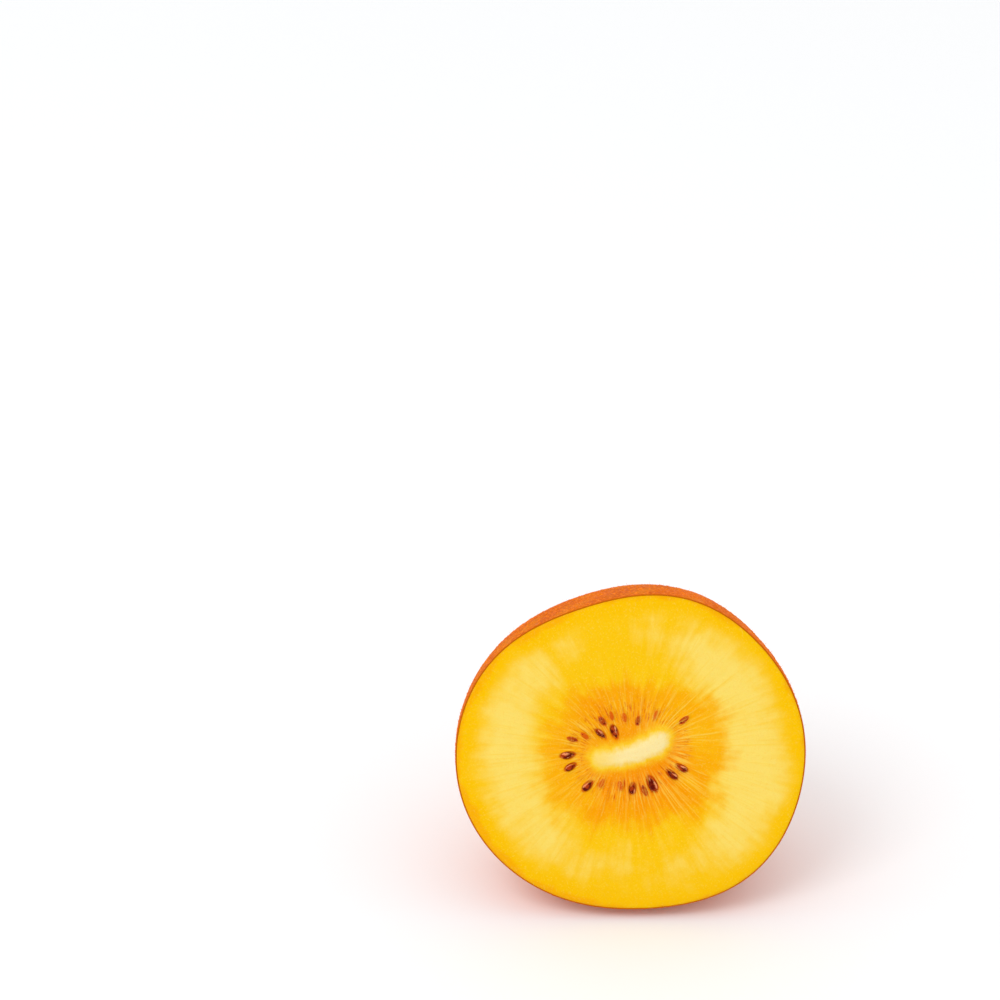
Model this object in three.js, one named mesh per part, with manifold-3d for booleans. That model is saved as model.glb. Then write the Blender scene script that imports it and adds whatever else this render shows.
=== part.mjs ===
// Half of a golden kiwi fruit (Actinidia chinensis), cut straight across its middle.
// It is one grown piece: skin, flesh, pale core and seeds hold together as a single closed solid.
//
// Units are millimetres and +Z is up. The half lies on a small flat spot of its skin, with the stem end
// toward +Y and the cut face leaning back from -Y. The origin is under the middle of its box, on the surface.
//
// The shape is built in the fruit's own frame first: X runs across the cut face, Y up the cut face and
// Z out of it along the fruit's axis, so the skin lies at negative Z down to the stem end.
import * as THREE from "three";
import { mergeVertices } from "three/addons/utils/BufferGeometryUtils.js";
import Module from "manifold-3d";

const wasm = await Module();
wasm.setup();

// ---- Driving dimensions ----

const CHAMBERS = 32; // radial seed chambers (locules) round the core
const COLUMNS_PER_CHAMBER = 3;
const COLUMNS = CHAMBERS * COLUMNS_PER_CHAMBER; // lengthwise lines of the surface
const SLIVER = 0.01; // splinters thinner than this, left where seeds cross the flesh, are closed up
const WELD = 1e-4; // points nearer than this are one

const LEAN_BACK = THREE.MathUtils.degToRad(15); // the cut face's tilt away from upright
const HALF_LENGTH = 33.8; // from the cut to the stem end, along the fruit's axis
const BLUNTNESS = 2.25; // superellipse power of the lengthwise profile: 2 is a plain ellipse
const AXIS_DRIFT = new THREE.Vector2(1.2, -2.2); // how far the stem end sits off the face's middle
const FLAT_SPOT_DEPTH = 0.95; // how much of the round skin is pressed flat where the half lies

const FACE_RADIUS = 26.4; // mean radius of the cut face
// Departures of the cut face from round: how many lobes, how high they are, and where one peaks in degrees.
const FACE_WAVES = [
  { count: 2, depth: 0.91, peak: 3 },
  { count: 3, depth: 0.44, peak: 69 },
  { count: 4, depth: 0.22, peak: 57 },
  { count: 5, depth: 0.13, peak: 10 },
  { count: 6, depth: 0.12, peak: 14 },
];
const RIM_BEVEL = 0.35; // width and depth of the worn edge between flesh and skin
const SKIN_WAVES = 7; // shallow lumps and hollows that a grown fruit has
const SKIN_WAVE_DEPTH = 0.09;
const SKIN_WAVE_START = 0.25; // they reach full height at this share of the half's length behind the cut

const CORE_AT = new THREE.Vector2(-0.5, 1.0); // middle of the pale core, from the face's middle
const CORE_TILT = THREE.MathUtils.degToRad(12.6); // its long way, from the face's X
const CORE_HALF_LENGTH = 6.2;
const CORE_HALF_WIDTH = 1.6;
const CORE_SWELL = 0.15; // how much wider its right end is than its left, as a share
const CORE_BEND = 0.5; // how far its middle hangs below its ends
const CORE_RAISE = 0.25; // how far its ends stand above the fan's middle line
const CORE_SLOPE = 0.07; // and how fast it climbs to the right
const CORE_SAG = 0.6; // how far the inner chambers hang below the ellipses' long way
const SAG_ACROSS = 4; // how far to its sides the sag is still felt
const SAG_ALONG = 9; // and how far along it
const CORE_RISE = 0.3; // the firm core stands this proud of the cut
// Lines of the core's top: share of the way out from its middle line, and height as a share of its rise.
const CORE_LINES = [
  [0.35, 1],
  [0.85, 0.6],
];
const CORE_FOOT = 0.18; // it has sunk to the cut at this share of the way from its edge to the seed ring
const FOCUS = 5.2; // half the distance between the foci that the chambers fan out from

// Ellipse levels of the seed ring's lines, from the core's edge to the start of the outer flesh.
const RING_LEVELS = [0.8, 0.98, 1.16, 1.4, 1.68];
const TROUGH_DEPTH = 0.22; // the soft seed ring sinks this far below the cut
const TROUGH_LEVEL = 1.0; // it is deepest here
const TROUGH_SPREAD = 0.42;
const RIB_HEIGHT = 0.2; // walls between the seed chambers, above the chambers
const RIB_LEVEL = 1.15; // they are highest here
const RIB_SPREAD = 0.45;
const FLESH_SHARES = [0.3, 0.58, 0.82]; // lines of the outer flesh, as shares of the way to the rim
const FLESH_SWELL = 0.18; // the outer flesh bulges this far between seed ring and rim
const SWELL_MIDDLE = 0.5; // most of all at this share of the way
const SWELL_SPREAD = 0.45;

const SEED_LENGTH = 2.4;
const SEED_WIDTH = 1.25;
const SEED_THICKNESS = 1.0;
const SEED_SIDES = 8;
// The seed's outline from its point to its round end: half width, as a share of half the full width, and
// place along, as a share of the length.
const SEED_OUTLINE = [
  [0, -0.5],
  [0.26, -0.4],
  [0.62, -0.2],
  [0.92, 0.05],
  [0.96, 0.25],
  [0.62, 0.43],
  [0, 0.5],
];

const FLANK_STEPS = 15; // rings of the round flank
const FLANK_TURN = THREE.MathUtils.degToRad(68); // how far round the profile the flank goes
const STEM_RADII = [9.2, 8.0, 7.0, 6.2, 5.5, 4.8, 4.1, 3.4, 2.8, 2.35, 1.95, 1.1]; // rings of the stem end
const STEM_DIMPLE = 2.1; // the stem end is hollowed this far below the round of the fruit
const STEM_DIMPLE_RADIUS = 9;
const COLLAR_RADIUS = 4.3; // crest of the broad corky collar that stands in the hollow
const COLLAR_WIDTH = 1.8;
const COLLAR_HEIGHT = 1.35;
const SCAR_RADIUS = 2.5; // hole that the stem left, in the collar's middle
const SCAR_FLOOR_RADIUS = 1.75;
const SCAR_DEPTH = 1.3;
const STUB_HEIGHT = 0.5; // torn end of the stem's strands, in the hole
const STUB_RADIUS = 1.0;
// Lumps of the collar: how many go round it, how high they are as a share of it, and where one peaks.
const COLLAR_LUMPS = [
  { count: 3, depth: 0.12, peak: 340 },
  { count: 5, depth: 0.09, peak: 25 },
  { count: 8, depth: 0.05, peak: 10 },
];
const CORK_RADIUS = 7.2; // the collar's cork gives way to plain skin this far from the axis

// Seeds that the cut laid bare or nearly so. `turn` is degrees round the core, `out` the distance from it
// as a level of the confocal ellipses, `stand` how far the seed's back stands above the cut, and `size`
// its size as a share of the largest kind.
const BARE = 0.42;
const VEILED = 0.26;
const SUNK = 0.12;
const SEEDS = [
  { turn: 19, out: 1.24, stand: VEILED, size: 0.82 },
  { turn: 50, out: 0.99, stand: SUNK, size: 0.7 },
  { turn: 71, out: 0.81, stand: VEILED, size: 0.72 },
  { turn: 87, out: 0.9, stand: SUNK, size: 0.7 },
  { turn: 101, out: 1.0, stand: SUNK, size: 0.7 },
  { turn: 105, out: 0.66, stand: BARE, size: 0.84 },
  { turn: 113, out: 0.98, stand: VEILED, size: 0.76 },
  { turn: 124, out: 0.76, stand: BARE, size: 0.78 },
  { turn: 142, out: 0.99, stand: SUNK, size: 0.7 },
  { turn: 153, out: 1.18, stand: VEILED, size: 0.76 },
  { turn: 173, out: 1.22, stand: BARE, size: 0.88 },
  { turn: 187, out: 1.22, stand: BARE, size: 0.74 },
  { turn: 215, out: 1.18, stand: BARE, size: 0.8 },
  { turn: 227, out: 0.97, stand: SUNK, size: 0.74 },
  { turn: 250, out: 0.93, stand: SUNK, size: 0.7 },
  { turn: 264, out: 1.02, stand: BARE, size: 0.7 },
  { turn: 276, out: 1.1, stand: VEILED, size: 0.78 },
  { turn: 286, out: 1.04, stand: BARE, size: 1.05 },
  { turn: 310, out: 1.11, stand: BARE, size: 0.8 },
  { turn: 322, out: 1.18, stand: BARE, size: 0.76 },
];

// ---- Helpers ----

const TURN = 2 * Math.PI;
const GOLDEN_ANGLE = Math.PI * (3 - Math.sqrt(5));

// Rises smoothly from 0 at `low` to 1 at `high`.
function ramp(value, low, high) {
  return THREE.MathUtils.smoothstep(value, low, high);
}

// A smooth hump of height 1 at `middle`, gone about two widths away.
function hump(value, middle, width) {
  return Math.exp(-(((value - middle) / width) ** 2));
}

// Height at `angle` of a set of waves that go round, each with its count of lobes, depth and peak.
function lobes(waves, angle) {
  let height = 0;
  for (const { count, depth, peak } of waves) {
    height += depth * Math.cos(count * (angle - THREE.MathUtils.degToRad(peak)));
  }
  return height;
}

// ---- The cut face ----

// Distance from the face's middle to its skin in the direction `angle`, for a fruit that is
// `roundness` of the way to a plain circle (0 at the cut, nearly 1 at the stem end).
function skinRadius(angle, roundness = 0) {
  return FACE_RADIUS + (1 - roundness) * lobes(FACE_WAVES, angle);
}

// A point given along and across the core, placed on the cut face. The core and all that fans out from
// it hang a little in the middle, less and less further out.
function fromCore(along, across) {
  const sag = CORE_SAG * (1 - (along / CORE_HALF_LENGTH) ** 2);
  const nearCore = hump(across, 0, SAG_ACROSS) * Math.exp(-((along / SAG_ALONG) ** 4));
  const spot = new THREE.Vector2(along, across - sag * nearCore);
  return spot.rotateAround(new THREE.Vector2(), CORE_TILT).add(CORE_AT);
}

// The outline of the core, `share` of the way out from its middle line: a bent bar, wider on the right.
function coreOutline(turn, share) {
  const swell = 1 + CORE_SWELL * Math.cos(turn);
  const side = Math.sign(Math.sin(turn)) * Math.sqrt(Math.abs(Math.sin(turn)));
  const along = (CORE_HALF_LENGTH - (1 - share) * CORE_HALF_WIDTH) * Math.cos(turn);
  const hang = CORE_BEND * (1 - (along / CORE_HALF_LENGTH) ** 2);
  const midline = CORE_RAISE + CORE_SLOPE * along - hang;
  return fromCore(along, midline + share * CORE_HALF_WIDTH * swell * side);
}

// A point on the confocal ellipse `level`, in the direction `turn`: lines of equal turn are the
// hyperbolas along which the seed chambers fan out from the core.
function chamberPoint(turn, level) {
  const along = FOCUS * Math.cosh(level) * Math.cos(turn);
  const across = FOCUS * Math.sinh(level) * Math.sin(turn);
  return fromCore(along, across);
}

// A point where the cut meets the skin.
function rimPoint(turn, share = 1) {
  const angle = turn + CORE_TILT;
  const radius = skinRadius(angle) * share;
  return new THREE.Vector2(radius * Math.cos(angle), radius * Math.sin(angle));
}

// Height of the seed ring's soft tissue at an ellipse level: a trough crossed by the chamber walls.
function chamberHeight(column, level) {
  const wall = column % COLUMNS_PER_CHAMBER === 0 ? RIB_HEIGHT : 0;
  const trough = -TROUGH_DEPTH * hump(level, TROUGH_LEVEL, TROUGH_SPREAD);
  return trough + wall * hump(level, RIB_LEVEL, RIB_SPREAD);
}

// Rings of the cut face from the core outward, each with one point to a column.
function faceRings() {
  const rings = [];
  const ring = (place, height) => {
    rings.push(
      columns((turn, column) => {
        const spot = place(turn);
        return new THREE.Vector3(spot.x, spot.y, height(column, turn));
      }),
    );
  };
  const firstLevel = RING_LEVELS[0];
  const lastLevel = RING_LEVELS.at(-1);
  for (const [share, height] of CORE_LINES) {
    ring(
      (turn) => coreOutline(turn, share),
      () => CORE_RISE * height,
    );
  }
  ring(
    (turn) => coreOutline(turn, 1).lerp(chamberPoint(turn, firstLevel), CORE_FOOT),
    () => 0,
  );
  for (const level of RING_LEVELS) {
    ring(
      (turn) => chamberPoint(turn, level),
      (column) => chamberHeight(column, level),
    );
  }
  for (const share of FLESH_SHARES) {
    ring(
      (turn) => chamberPoint(turn, lastLevel).lerp(rimPoint(turn), share),
      () => FLESH_SWELL * hump(share, SWELL_MIDDLE, SWELL_SPREAD),
    );
  }
  ring(
    (turn) => rimPoint(turn, 1 - RIM_BEVEL / FACE_RADIUS),
    () => 0,
  );
  return rings;
}

// ---- The skin ----

// Gentle unevenness of the grown skin: waves that wind round the fruit, each started a golden angle
// on from the last, so that they never line up. It fades out toward the cut.
function skinUnevenness(angle, depthShare) {
  let height = 0;
  for (let wave = 0; wave < SKIN_WAVES; wave++) {
    const phase = (2 + (wave % 5)) * angle + (1 + 0.5 * wave) * Math.PI * depthShare + wave * GOLDEN_ANGLE;
    height += SKIN_WAVE_DEPTH * Math.cos(phase);
  }
  return height * ramp(depthShare, 0, SKIN_WAVE_START);
}

// Depth behind the cut at which the skin has closed in to `share` of its full radius.
function depthAt(share) {
  return HALF_LENGTH * (1 - share ** BLUNTNESS) ** (1 / BLUNTNESS);
}

// The stem end's own relief, as a push away from the fruit, at a radius round the fruit's axis:
// a shallow hollow, the lumpy corky collar standing in it, and the hole that the stem left.
function stemRelief(radius, angle) {
  const lumps = 1 + lobes(COLLAR_LUMPS, angle);
  const hollow = -STEM_DIMPLE * hump(radius, 0, STEM_DIMPLE_RADIUS);
  const collar = COLLAR_HEIGHT * lumps * hump(radius, COLLAR_RADIUS, COLLAR_WIDTH);
  const scar = -SCAR_DEPTH * (1 - ramp(radius, SCAR_FLOOR_RADIUS, SCAR_RADIUS));
  const stub = STUB_HEIGHT * hump(radius, 0, STUB_RADIUS);
  return hollow + collar + scar + stub;
}

// One ring of the skin at `share` of the full radius, from just behind the cut to the stem end.
function skinRing(share) {
  const depth = depthAt(share);
  const depthShare = depth / HALF_LENGTH;
  return columns((turn) => {
    const angle = turn + CORE_TILT;
    const radius = skinRadius(angle, depthShare ** 2) * share;
    const push = stemRelief(radius, angle);
    const outward = radius + skinUnevenness(angle, depthShare) * Math.sqrt(share);
    return new THREE.Vector3(
      outward * Math.cos(angle) + AXIS_DRIFT.x * depthShare ** 2,
      outward * Math.sin(angle) + AXIS_DRIFT.y * depthShare ** 2,
      -depth - push,
    );
  });
}

// Rings of the skin: the worn rim, the round flank by even steps of the profile's angle, then closer
// rings over the stem end where its small relief is.
function skinRings() {
  const rim = columns((turn) => {
    const spot = rimPoint(turn);
    return new THREE.Vector3(spot.x, spot.y, -RIM_BEVEL);
  });
  const rings = [rim];
  for (let step = 1; step <= FLANK_STEPS; step++) {
    const angle = (step / FLANK_STEPS) * FLANK_TURN;
    rings.push(skinRing(Math.cos(angle) ** (2 / BLUNTNESS)));
  }
  for (const radius of STEM_RADII) {
    rings.push(skinRing(radius / FACE_RADIUS));
  }
  return rings;
}

// ---- Surface to solid ----

// Calls `make` for each column and gathers what it returns.
function columns(make) {
  return Array.from({ length: COLUMNS }, (_, column) => make((column / COLUMNS) * TURN, column));
}

// Joins rings of points into one closed surface: the first ring is sewn shut across the core's
// middle line, neighbouring rings are joined by pairs of triangles, and the last closes on a tip.
function closedSurface(rings, tip) {
  const points = rings.flat().concat(tip);
  const faces = [];
  for (let column = 0; column < COLUMNS / 2; column++) {
    const here = [column, column + 1];
    const opposite = [(COLUMNS - column) % COLUMNS, COLUMNS - column - 1];
    faces.push([here[0], here[1], opposite[1]]);
    faces.push([here[0], opposite[1], opposite[0]]);
  }
  for (let row = 0; row + 1 < rings.length; row++) {
    for (let column = 0; column < COLUMNS; column++) {
      const next = (column + 1) % COLUMNS;
      const inner = row * COLUMNS;
      const outer = inner + COLUMNS;
      faces.push([inner + column, outer + column, outer + next]);
      faces.push([inner + column, outer + next, inner + next]);
    }
  }
  const last = (rings.length - 1) * COLUMNS;
  for (let column = 0; column < COLUMNS; column++) {
    faces.push([last + column, points.length - 1, last + ((column + 1) % COLUMNS)]);
  }
  const whole = faces.filter(([a, b, c]) => a !== b && b !== c && c !== a);
  const geometry = new THREE.BufferGeometry().setFromPoints(points);
  geometry.setIndex(whole.flat());
  return geometry;
}

// The direction that is up for the lying half, in the fruit's own frame.
const UP = new THREE.Vector3(0, Math.cos(LEAN_BACK), Math.sin(LEAN_BACK));

// Presses the lowest part of the skin flat against the surface that it lies on.
function pressFlat(rings) {
  const points = rings.flat();
  const surface = Math.min(...points.map((point) => point.dot(UP))) + FLAT_SPOT_DEPTH;
  for (const point of points) {
    point.addScaledVector(UP, Math.max(0, surface - point.dot(UP)));
  }
}

// One seed: a flattened drop, its point toward the core and about half of it sunk in the flesh.
function seedGeometry({ turn, out, stand, size }) {
  const profile = SEED_OUTLINE.map(
    ([wide, along]) => new THREE.Vector2((wide * SEED_WIDTH) / 2, along * SEED_LENGTH),
  );
  const seed = new THREE.LatheGeometry(profile, SEED_SIDES);
  seed.scale(size, size, (size * SEED_THICKNESS) / SEED_WIDTH);
  const angle = THREE.MathUtils.degToRad(turn);
  const spot = chamberPoint(angle, out);
  const outward = chamberPoint(angle, out + 0.1).sub(spot);
  seed.rotateZ(outward.angle() - Math.PI / 2);
  seed.translate(spot.x, spot.y, stand - (size * SEED_THICKNESS) / 2);
  return seed;
}

// A closed surface as a solid that can be joined with others.
function toSolid(geometry) {
  geometry.deleteAttribute("normal");
  geometry.deleteAttribute("uv");
  const merged = mergeVertices(geometry, WELD);
  return new wasm.Manifold(
    new wasm.Mesh({
      numProp: 3,
      vertProperties: merged.attributes.position.array,
      triVerts: new Uint32Array(merged.index.array),
    }),
  );
}

// ---- Colours ----

const MATERIALS = {
  skin: new THREE.MeshStandardMaterial({ color: 0xc8660f, roughness: 0.85, metalness: 0 }),
  cork: new THREE.MeshStandardMaterial({ color: 0xc24a12, roughness: 0.95, metalness: 0 }),
  flesh: new THREE.MeshStandardMaterial({ color: 0xfdd02c, roughness: 0.35, metalness: 0 }),
  chambers: new THREE.MeshStandardMaterial({ color: 0xfda808, roughness: 0.3, metalness: 0 }),
  core: new THREE.MeshStandardMaterial({ color: 0xffe9a8, roughness: 0.4, metalness: 0 }),
  seeds: new THREE.MeshStandardMaterial({ color: 0x3a1208, roughness: 0.25, metalness: 0 }),
};

// Which tissue a triangle of the fruit's own surface belongs to, from its middle and its facing.
function tissueAt(middle, facing) {
  const axisRadius = Math.hypot(middle.x, middle.y);
  if (facing.z < 0.5 || middle.z < -RIM_BEVEL) {
    return middle.z < -depthAt(CORK_RADIUS / FACE_RADIUS) && axisRadius < CORK_RADIUS ? "cork" : "skin";
  }
  const local = new THREE.Vector2(middle.x, middle.y).sub(CORE_AT);
  local.rotateAround(new THREE.Vector2(), -CORE_TILT);
  const left = Math.hypot(local.x + FOCUS, local.y);
  const right = Math.hypot(local.x - FOCUS, local.y);
  const level = Math.acosh(Math.max(1, (left + right) / (2 * FOCUS)));
  if (middle.z > 0 && level < RING_LEVELS[0]) return "core";
  return level < RING_LEVELS.at(-1) ? "chambers" : "flesh";
}

// Turns the joined solid back into a mesh with its triangles grouped by tissue.
function colouredMesh(solid, seedIds) {
  const { vertProperties, triVerts, runIndex, runOriginalID } = solid.getMesh();
  const corner = (index) => new THREE.Vector3().fromArray(vertProperties, 3 * index);
  const buckets = Object.fromEntries(Object.keys(MATERIALS).map((name) => [name, []]));
  for (let run = 0; run < runOriginalID.length; run++) {
    for (let at = runIndex[run]; at < runIndex[run + 1]; at += 3) {
      const face = Array.from(triVerts.slice(at, at + 3));
      const triangle = new THREE.Triangle(...face.map(corner));
      const middle = triangle.getMidpoint(new THREE.Vector3());
      const facing = triangle.getNormal(new THREE.Vector3());
      const tissue = seedIds.has(runOriginalID[run]) ? "seeds" : tissueAt(middle, facing);
      buckets[tissue].push(...face);
    }
  }
  const geometry = new THREE.BufferGeometry();
  geometry.setAttribute("position", new THREE.BufferAttribute(new Float32Array(vertProperties), 3));
  geometry.setIndex(Object.values(buckets).flat());
  let start = 0;
  Object.values(buckets).forEach((indices, slot) => {
    geometry.addGroup(start, indices.length, slot);
    start += indices.length;
  });
  geometry.computeVertexNormals();
  return new THREE.Mesh(geometry, Object.values(MATERIALS));
}

// ---- The half fruit ----

const rings = [...faceRings(), ...skinRings()];
pressFlat(rings);
const tipDepth = HALF_LENGTH + stemRelief(0, 0);
const tip = new THREE.Vector3(AXIS_DRIFT.x, AXIS_DRIFT.y, -tipDepth);

let fruit = toSolid(closedSurface(rings, tip));
const seedIds = new Set();
for (const seed of SEEDS) {
  const solid = toSolid(seedGeometry(seed)).asOriginal();
  seedIds.add(solid.originalID());
  fruit = fruit.add(solid);
}
fruit = fruit.simplify(SLIVER);

const kiwiHalf = colouredMesh(fruit, seedIds);
kiwiHalf.name = "kiwi_half";
kiwiHalf.rotation.x = Math.PI / 2 - LEAN_BACK;

// Stand the group's origin on the surface, under the middle of the half's box.
const group = new THREE.Group();
group.add(kiwiHalf);
const box = new THREE.Box3().setFromObject(group, true);
const middle = box.getCenter(new THREE.Vector3());
kiwiHalf.position.set(-middle.x, -middle.y, -box.min.z);

export default group;
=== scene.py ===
"""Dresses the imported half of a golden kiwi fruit: wet cut flesh, seeds, thin grainy skin, and its stage.

Shapes are worked out in the fruit's own frame, in millimetres: X runs across the cut face, Y up it and Z
out of it along the fruit's axis, so the skin lies at negative Z. placed() brings them to the part's frame.
"""

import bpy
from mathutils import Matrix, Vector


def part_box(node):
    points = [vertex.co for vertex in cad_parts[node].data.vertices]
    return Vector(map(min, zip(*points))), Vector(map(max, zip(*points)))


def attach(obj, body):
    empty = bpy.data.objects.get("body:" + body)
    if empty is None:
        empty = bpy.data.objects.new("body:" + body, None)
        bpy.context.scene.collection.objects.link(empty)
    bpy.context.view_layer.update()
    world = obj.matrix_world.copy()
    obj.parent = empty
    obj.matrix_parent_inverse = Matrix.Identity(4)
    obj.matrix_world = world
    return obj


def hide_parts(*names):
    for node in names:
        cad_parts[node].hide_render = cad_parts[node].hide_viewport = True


bl_info = {
    "name": "Golden kiwi half",
    "version": (1, 0, 0),
    "blender": (4, 5, 0),
    "location": "View3D > Sidebar > Kiwi",
    "description": "Builds a cut golden kiwi fruit and its stage around the packed part",
    "category": "Object",
}

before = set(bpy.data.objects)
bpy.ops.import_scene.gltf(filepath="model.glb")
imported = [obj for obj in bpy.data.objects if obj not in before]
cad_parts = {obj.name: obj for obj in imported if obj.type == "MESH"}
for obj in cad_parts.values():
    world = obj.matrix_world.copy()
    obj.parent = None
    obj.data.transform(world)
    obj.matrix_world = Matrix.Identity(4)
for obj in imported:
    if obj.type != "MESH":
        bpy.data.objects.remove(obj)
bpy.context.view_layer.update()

import math

import bpy
import numpy as np
from mathutils import Vector, noise

MM = 0.001  # metres to a millimetre
TURN = 2 * math.pi
NODE = "kiwi_half"
BODY = "root"

# ---- The fruit's form, as in the part ----

LEAN_BACK = math.radians(15)  # the cut face's tilt away from upright
HALF_LENGTH = 33.8  # from the cut to the stem end
BLUNTNESS = 2.25  # superellipse power of the lengthwise profile
AXIS_DRIFT = (1.2, -2.2)  # how far the stem end sits off the face's middle
FLAT_SPOT_DEPTH = 0.95  # how much of the round skin is pressed flat where the half lies

FACE_RADIUS = 26.4
# Departures of the face from round: count of lobes, height in millimetres, direction of one in degrees.
FACE_WAVES = [(2, 0.91, 3), (3, 0.44, 69), (4, 0.22, 57), (5, 0.13, 10), (6, 0.12, 14)]
RIM_BEVEL = 0.35  # width and depth of the worn edge between flesh and skin
RIM_SAMPLES = 720  # places looked at for the lowest point of the rim
SKIN_WAVES = 7  # shallow lumps and hollows that a grown fruit has
SKIN_WAVE_DEPTH = 0.09
SKIN_WAVE_START = 0.25  # they reach full height at this share of the half's length behind the cut
GOLDEN_ANGLE = math.pi * (3 - math.sqrt(5))
FLANK_STEPS = 15  # rings of the round flank
FLANK_TURN = math.radians(68)  # how far round the lengthwise profile the flank goes

CORE_AT = (-0.5, 1.0)  # middle of the pale core, from the face's middle
CORE_TILT = math.radians(12.6)  # its long way, from the face's X
CORE_HALF_LENGTH = 6.2
CORE_HALF_WIDTH = 1.6
CORE_SWELL = 0.15  # how much wider its right end is than its middle, as a share
CORE_BEND = 0.5  # how far its middle hangs below its ends
CORE_RAISE = 0.25  # how far its ends stand above the fan's middle line
CORE_SLOPE = 0.07  # and how fast it climbs to the right
CORE_SAG = 0.6  # how far the inner chambers hang below the ellipses' long way
SAG_ACROSS = 4  # how far to the core's sides the sag is still felt
SAG_ALONG = 9  # and how far along it
SAG_ROUNDS = 4  # rounds that take the sag out again closely enough
CORE_RISE = 0.3  # the firm core stands this proud of the cut
FOCUS = 5.2  # half the distance between the foci that the chambers fan out from

CHAMBERS = 32  # seed chambers round the core
COLUMNS_PER_CHAMBER = 3  # lengthwise lines of the part's own surface
TROUGH_DEPTH = 0.22  # the soft seed ring sinks this far below the cut
TROUGH_LEVEL = 1.0  # most of all at this ellipse level
TROUGH_SPREAD = 0.42
RIB_HEIGHT = 0.2  # walls between the seed chambers, above the chambers
RIB_LEVEL = 1.15  # they are highest at this ellipse level
RIB_SPREAD = 0.45
FLESH_SWELL = 0.18  # the outer flesh bulges this far
SWELL_MIDDLE = 6.2  # most of all this far from the skin
SWELL_SPREAD = 5.6

STEM_DIMPLE = 2.1  # the stem end is hollowed this far below the round of the fruit
STEM_DIMPLE_RADIUS = 9
COLLAR_RADIUS = 4.3  # crest of the corky collar that stands in the hollow
COLLAR_WIDTH = 1.8
COLLAR_HEIGHT = 1.35
COLLAR_LUMPS = [(3, 0.12, 340), (5, 0.09, 25), (8, 0.05, 10)]
SCAR_RADIUS = 2.5  # hole that the stem left
SCAR_FLOOR_RADIUS = 1.75
SCAR_DEPTH = 1.3
STUB_HEIGHT = 0.5  # torn end of the stem's strands, in the hole
STUB_RADIUS = 1.0
CORK_RADIUS = 7.2  # the collar's cork gives way to plain skin this far from the axis

SEED_LENGTH = 2.4
SEED_WIDTH = 1.25
SEED_THICKNESS = 1.0
BARE, VEILED, SUNK = 0.42, 0.26, 0.12  # how far a seed's back stands above the cut
# Direction round the core in degrees, ellipse level, how far it stands out, and share of the largest size.
SEEDS = [
    (19, 1.24, VEILED, 0.82),
    (50, 0.99, SUNK, 0.7),
    (71, 0.81, VEILED, 0.72),
    (87, 0.9, SUNK, 0.7),
    (101, 1.0, SUNK, 0.7),
    (105, 0.66, BARE, 0.84),
    (113, 0.98, VEILED, 0.76),
    (124, 0.76, BARE, 0.78),
    (142, 0.99, SUNK, 0.7),
    (153, 1.18, VEILED, 0.76),
    (173, 1.22, BARE, 0.88),
    (187, 1.22, BARE, 0.74),
    (215, 1.18, BARE, 0.8),
    (227, 0.97, SUNK, 0.74),
    (250, 0.93, SUNK, 0.7),
    (264, 1.02, BARE, 0.7),
    (276, 1.1, VEILED, 0.78),
    (286, 1.04, BARE, 1.05),
    (310, 1.11, BARE, 0.8),
    (322, 1.18, BARE, 0.76),
]

# ---- Finer form that only the dressed fruit has ----

FACE_COLUMNS = 704  # points of a ring of the cut face: 22 to a seed chamber
CORE_RINGS = 11  # rings of the face on the core
CORE_START = 0.08  # the innermost ring lies this share of the way from its middle line to its edge
JOIN_RINGS = 6  # between the core and the fan of chambers
FAN_RINGS = 36  # on the fan
FAN_LEVELS = (0.8, 1.68)  # ellipse levels of the fan's first and last rings
OUTER_RINGS = 48  # between the fan and the skin
BACK_STEPS = 9  # rings of the flesh's plain back
FLESH_INSET = 0.75  # the flesh's back lies inside the skin's outside by this share of its thickness
SKIN_CLEARANCE = 0.02  # gap between the flesh and the skin's cut edge
STEM_END_INSIDE = -29.5  # the hidden inner sides close here, well short of the stem's scar

CORE_SHOULDER = (-1.1, 0.4)  # the core falls away to the cut between these distances from its edge
CORE_FOOT = 1.2  # the trough has its full depth this far from the core
SWELL_STARTS = (1.2, 1.9)  # the outer flesh's swell begins between these ellipse levels
RIM_DROOP = 0.07  # the flesh has drawn back this far beside the skin
RIM_DROOP_WIDTH = 0.8

# Kinds of bumps: size across, height, and a shift to another stretch of the noise.
FLESH_BUMPS = [(2.4, 0.03, 0), (0.8, 0.018, 7)]
SEED_BUMPS = [(0.5, 0.03, 0)]
SEED_BUMPS_PUSH = (1, 1, 0.5)  # how far these push along X, Y and Z
RIM_NICKS = [(0.9, 0.03, 0), (3.0, 0.02, 3)]
SKIN_BUMPS = [(3.2, 0.035, 0), (0.9, 0.012, 2)]
CORK_BUMPS = [(1.4, 0.32, 9), (0.5, 0.2, 5)]
# How far the borders of the cork, the scar and the patch of painted highlight stray, in the same way.
CORK_STRAYS = [(2.2, 0.7, 0), (0.8, 0.4, 4)]
SCAR_STRAYS = [(1.1, 0.35, 6)]
PAINTED_HIGHLIGHT_STRAYS = [(2.0, 2.4, 8)]

ZONE_LEVEL = 1.62  # ellipse level where the amber seed zone gives way to the outer flesh
ZONE_LOBES = [(1, 0.09, 285), (2, 0.056, 164), (4, 0.037, 28), (5, 0.02, 22), (11, 0.02, 12), (17, 0.012, 3)]
PAINTED_LIGHT_RIM_LOBES = [(1, 0.6, 350), (2, 0.3, 150)]  # painted light: the golden rim of the flesh is drawn thinner on the right, so that side shows paler, as if more brightly lit
DEEP_MEAN = 0.5  # how deep the amber is, from 0 to 1, before its lobes
DEEP_LOBES = [(1, 0.2, 235), (2, 0.5, 92)]  # it is deepest above and below the core
RUST_LEVEL = 0.95  # the ring of seeds is rustiest at this ellipse level
RUST_SPREAD = 0.35
RUST_SIDE = math.radians(300)  # and on this side of the core
RING_LEVEL = 1.02  # the ring of seeds, where the cut is stained, lies at this ellipse level
RING_SPREAD = 0.24
RING_STARTS = (0.5, 1.2)  # its stains begin between these distances from the core
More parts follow.
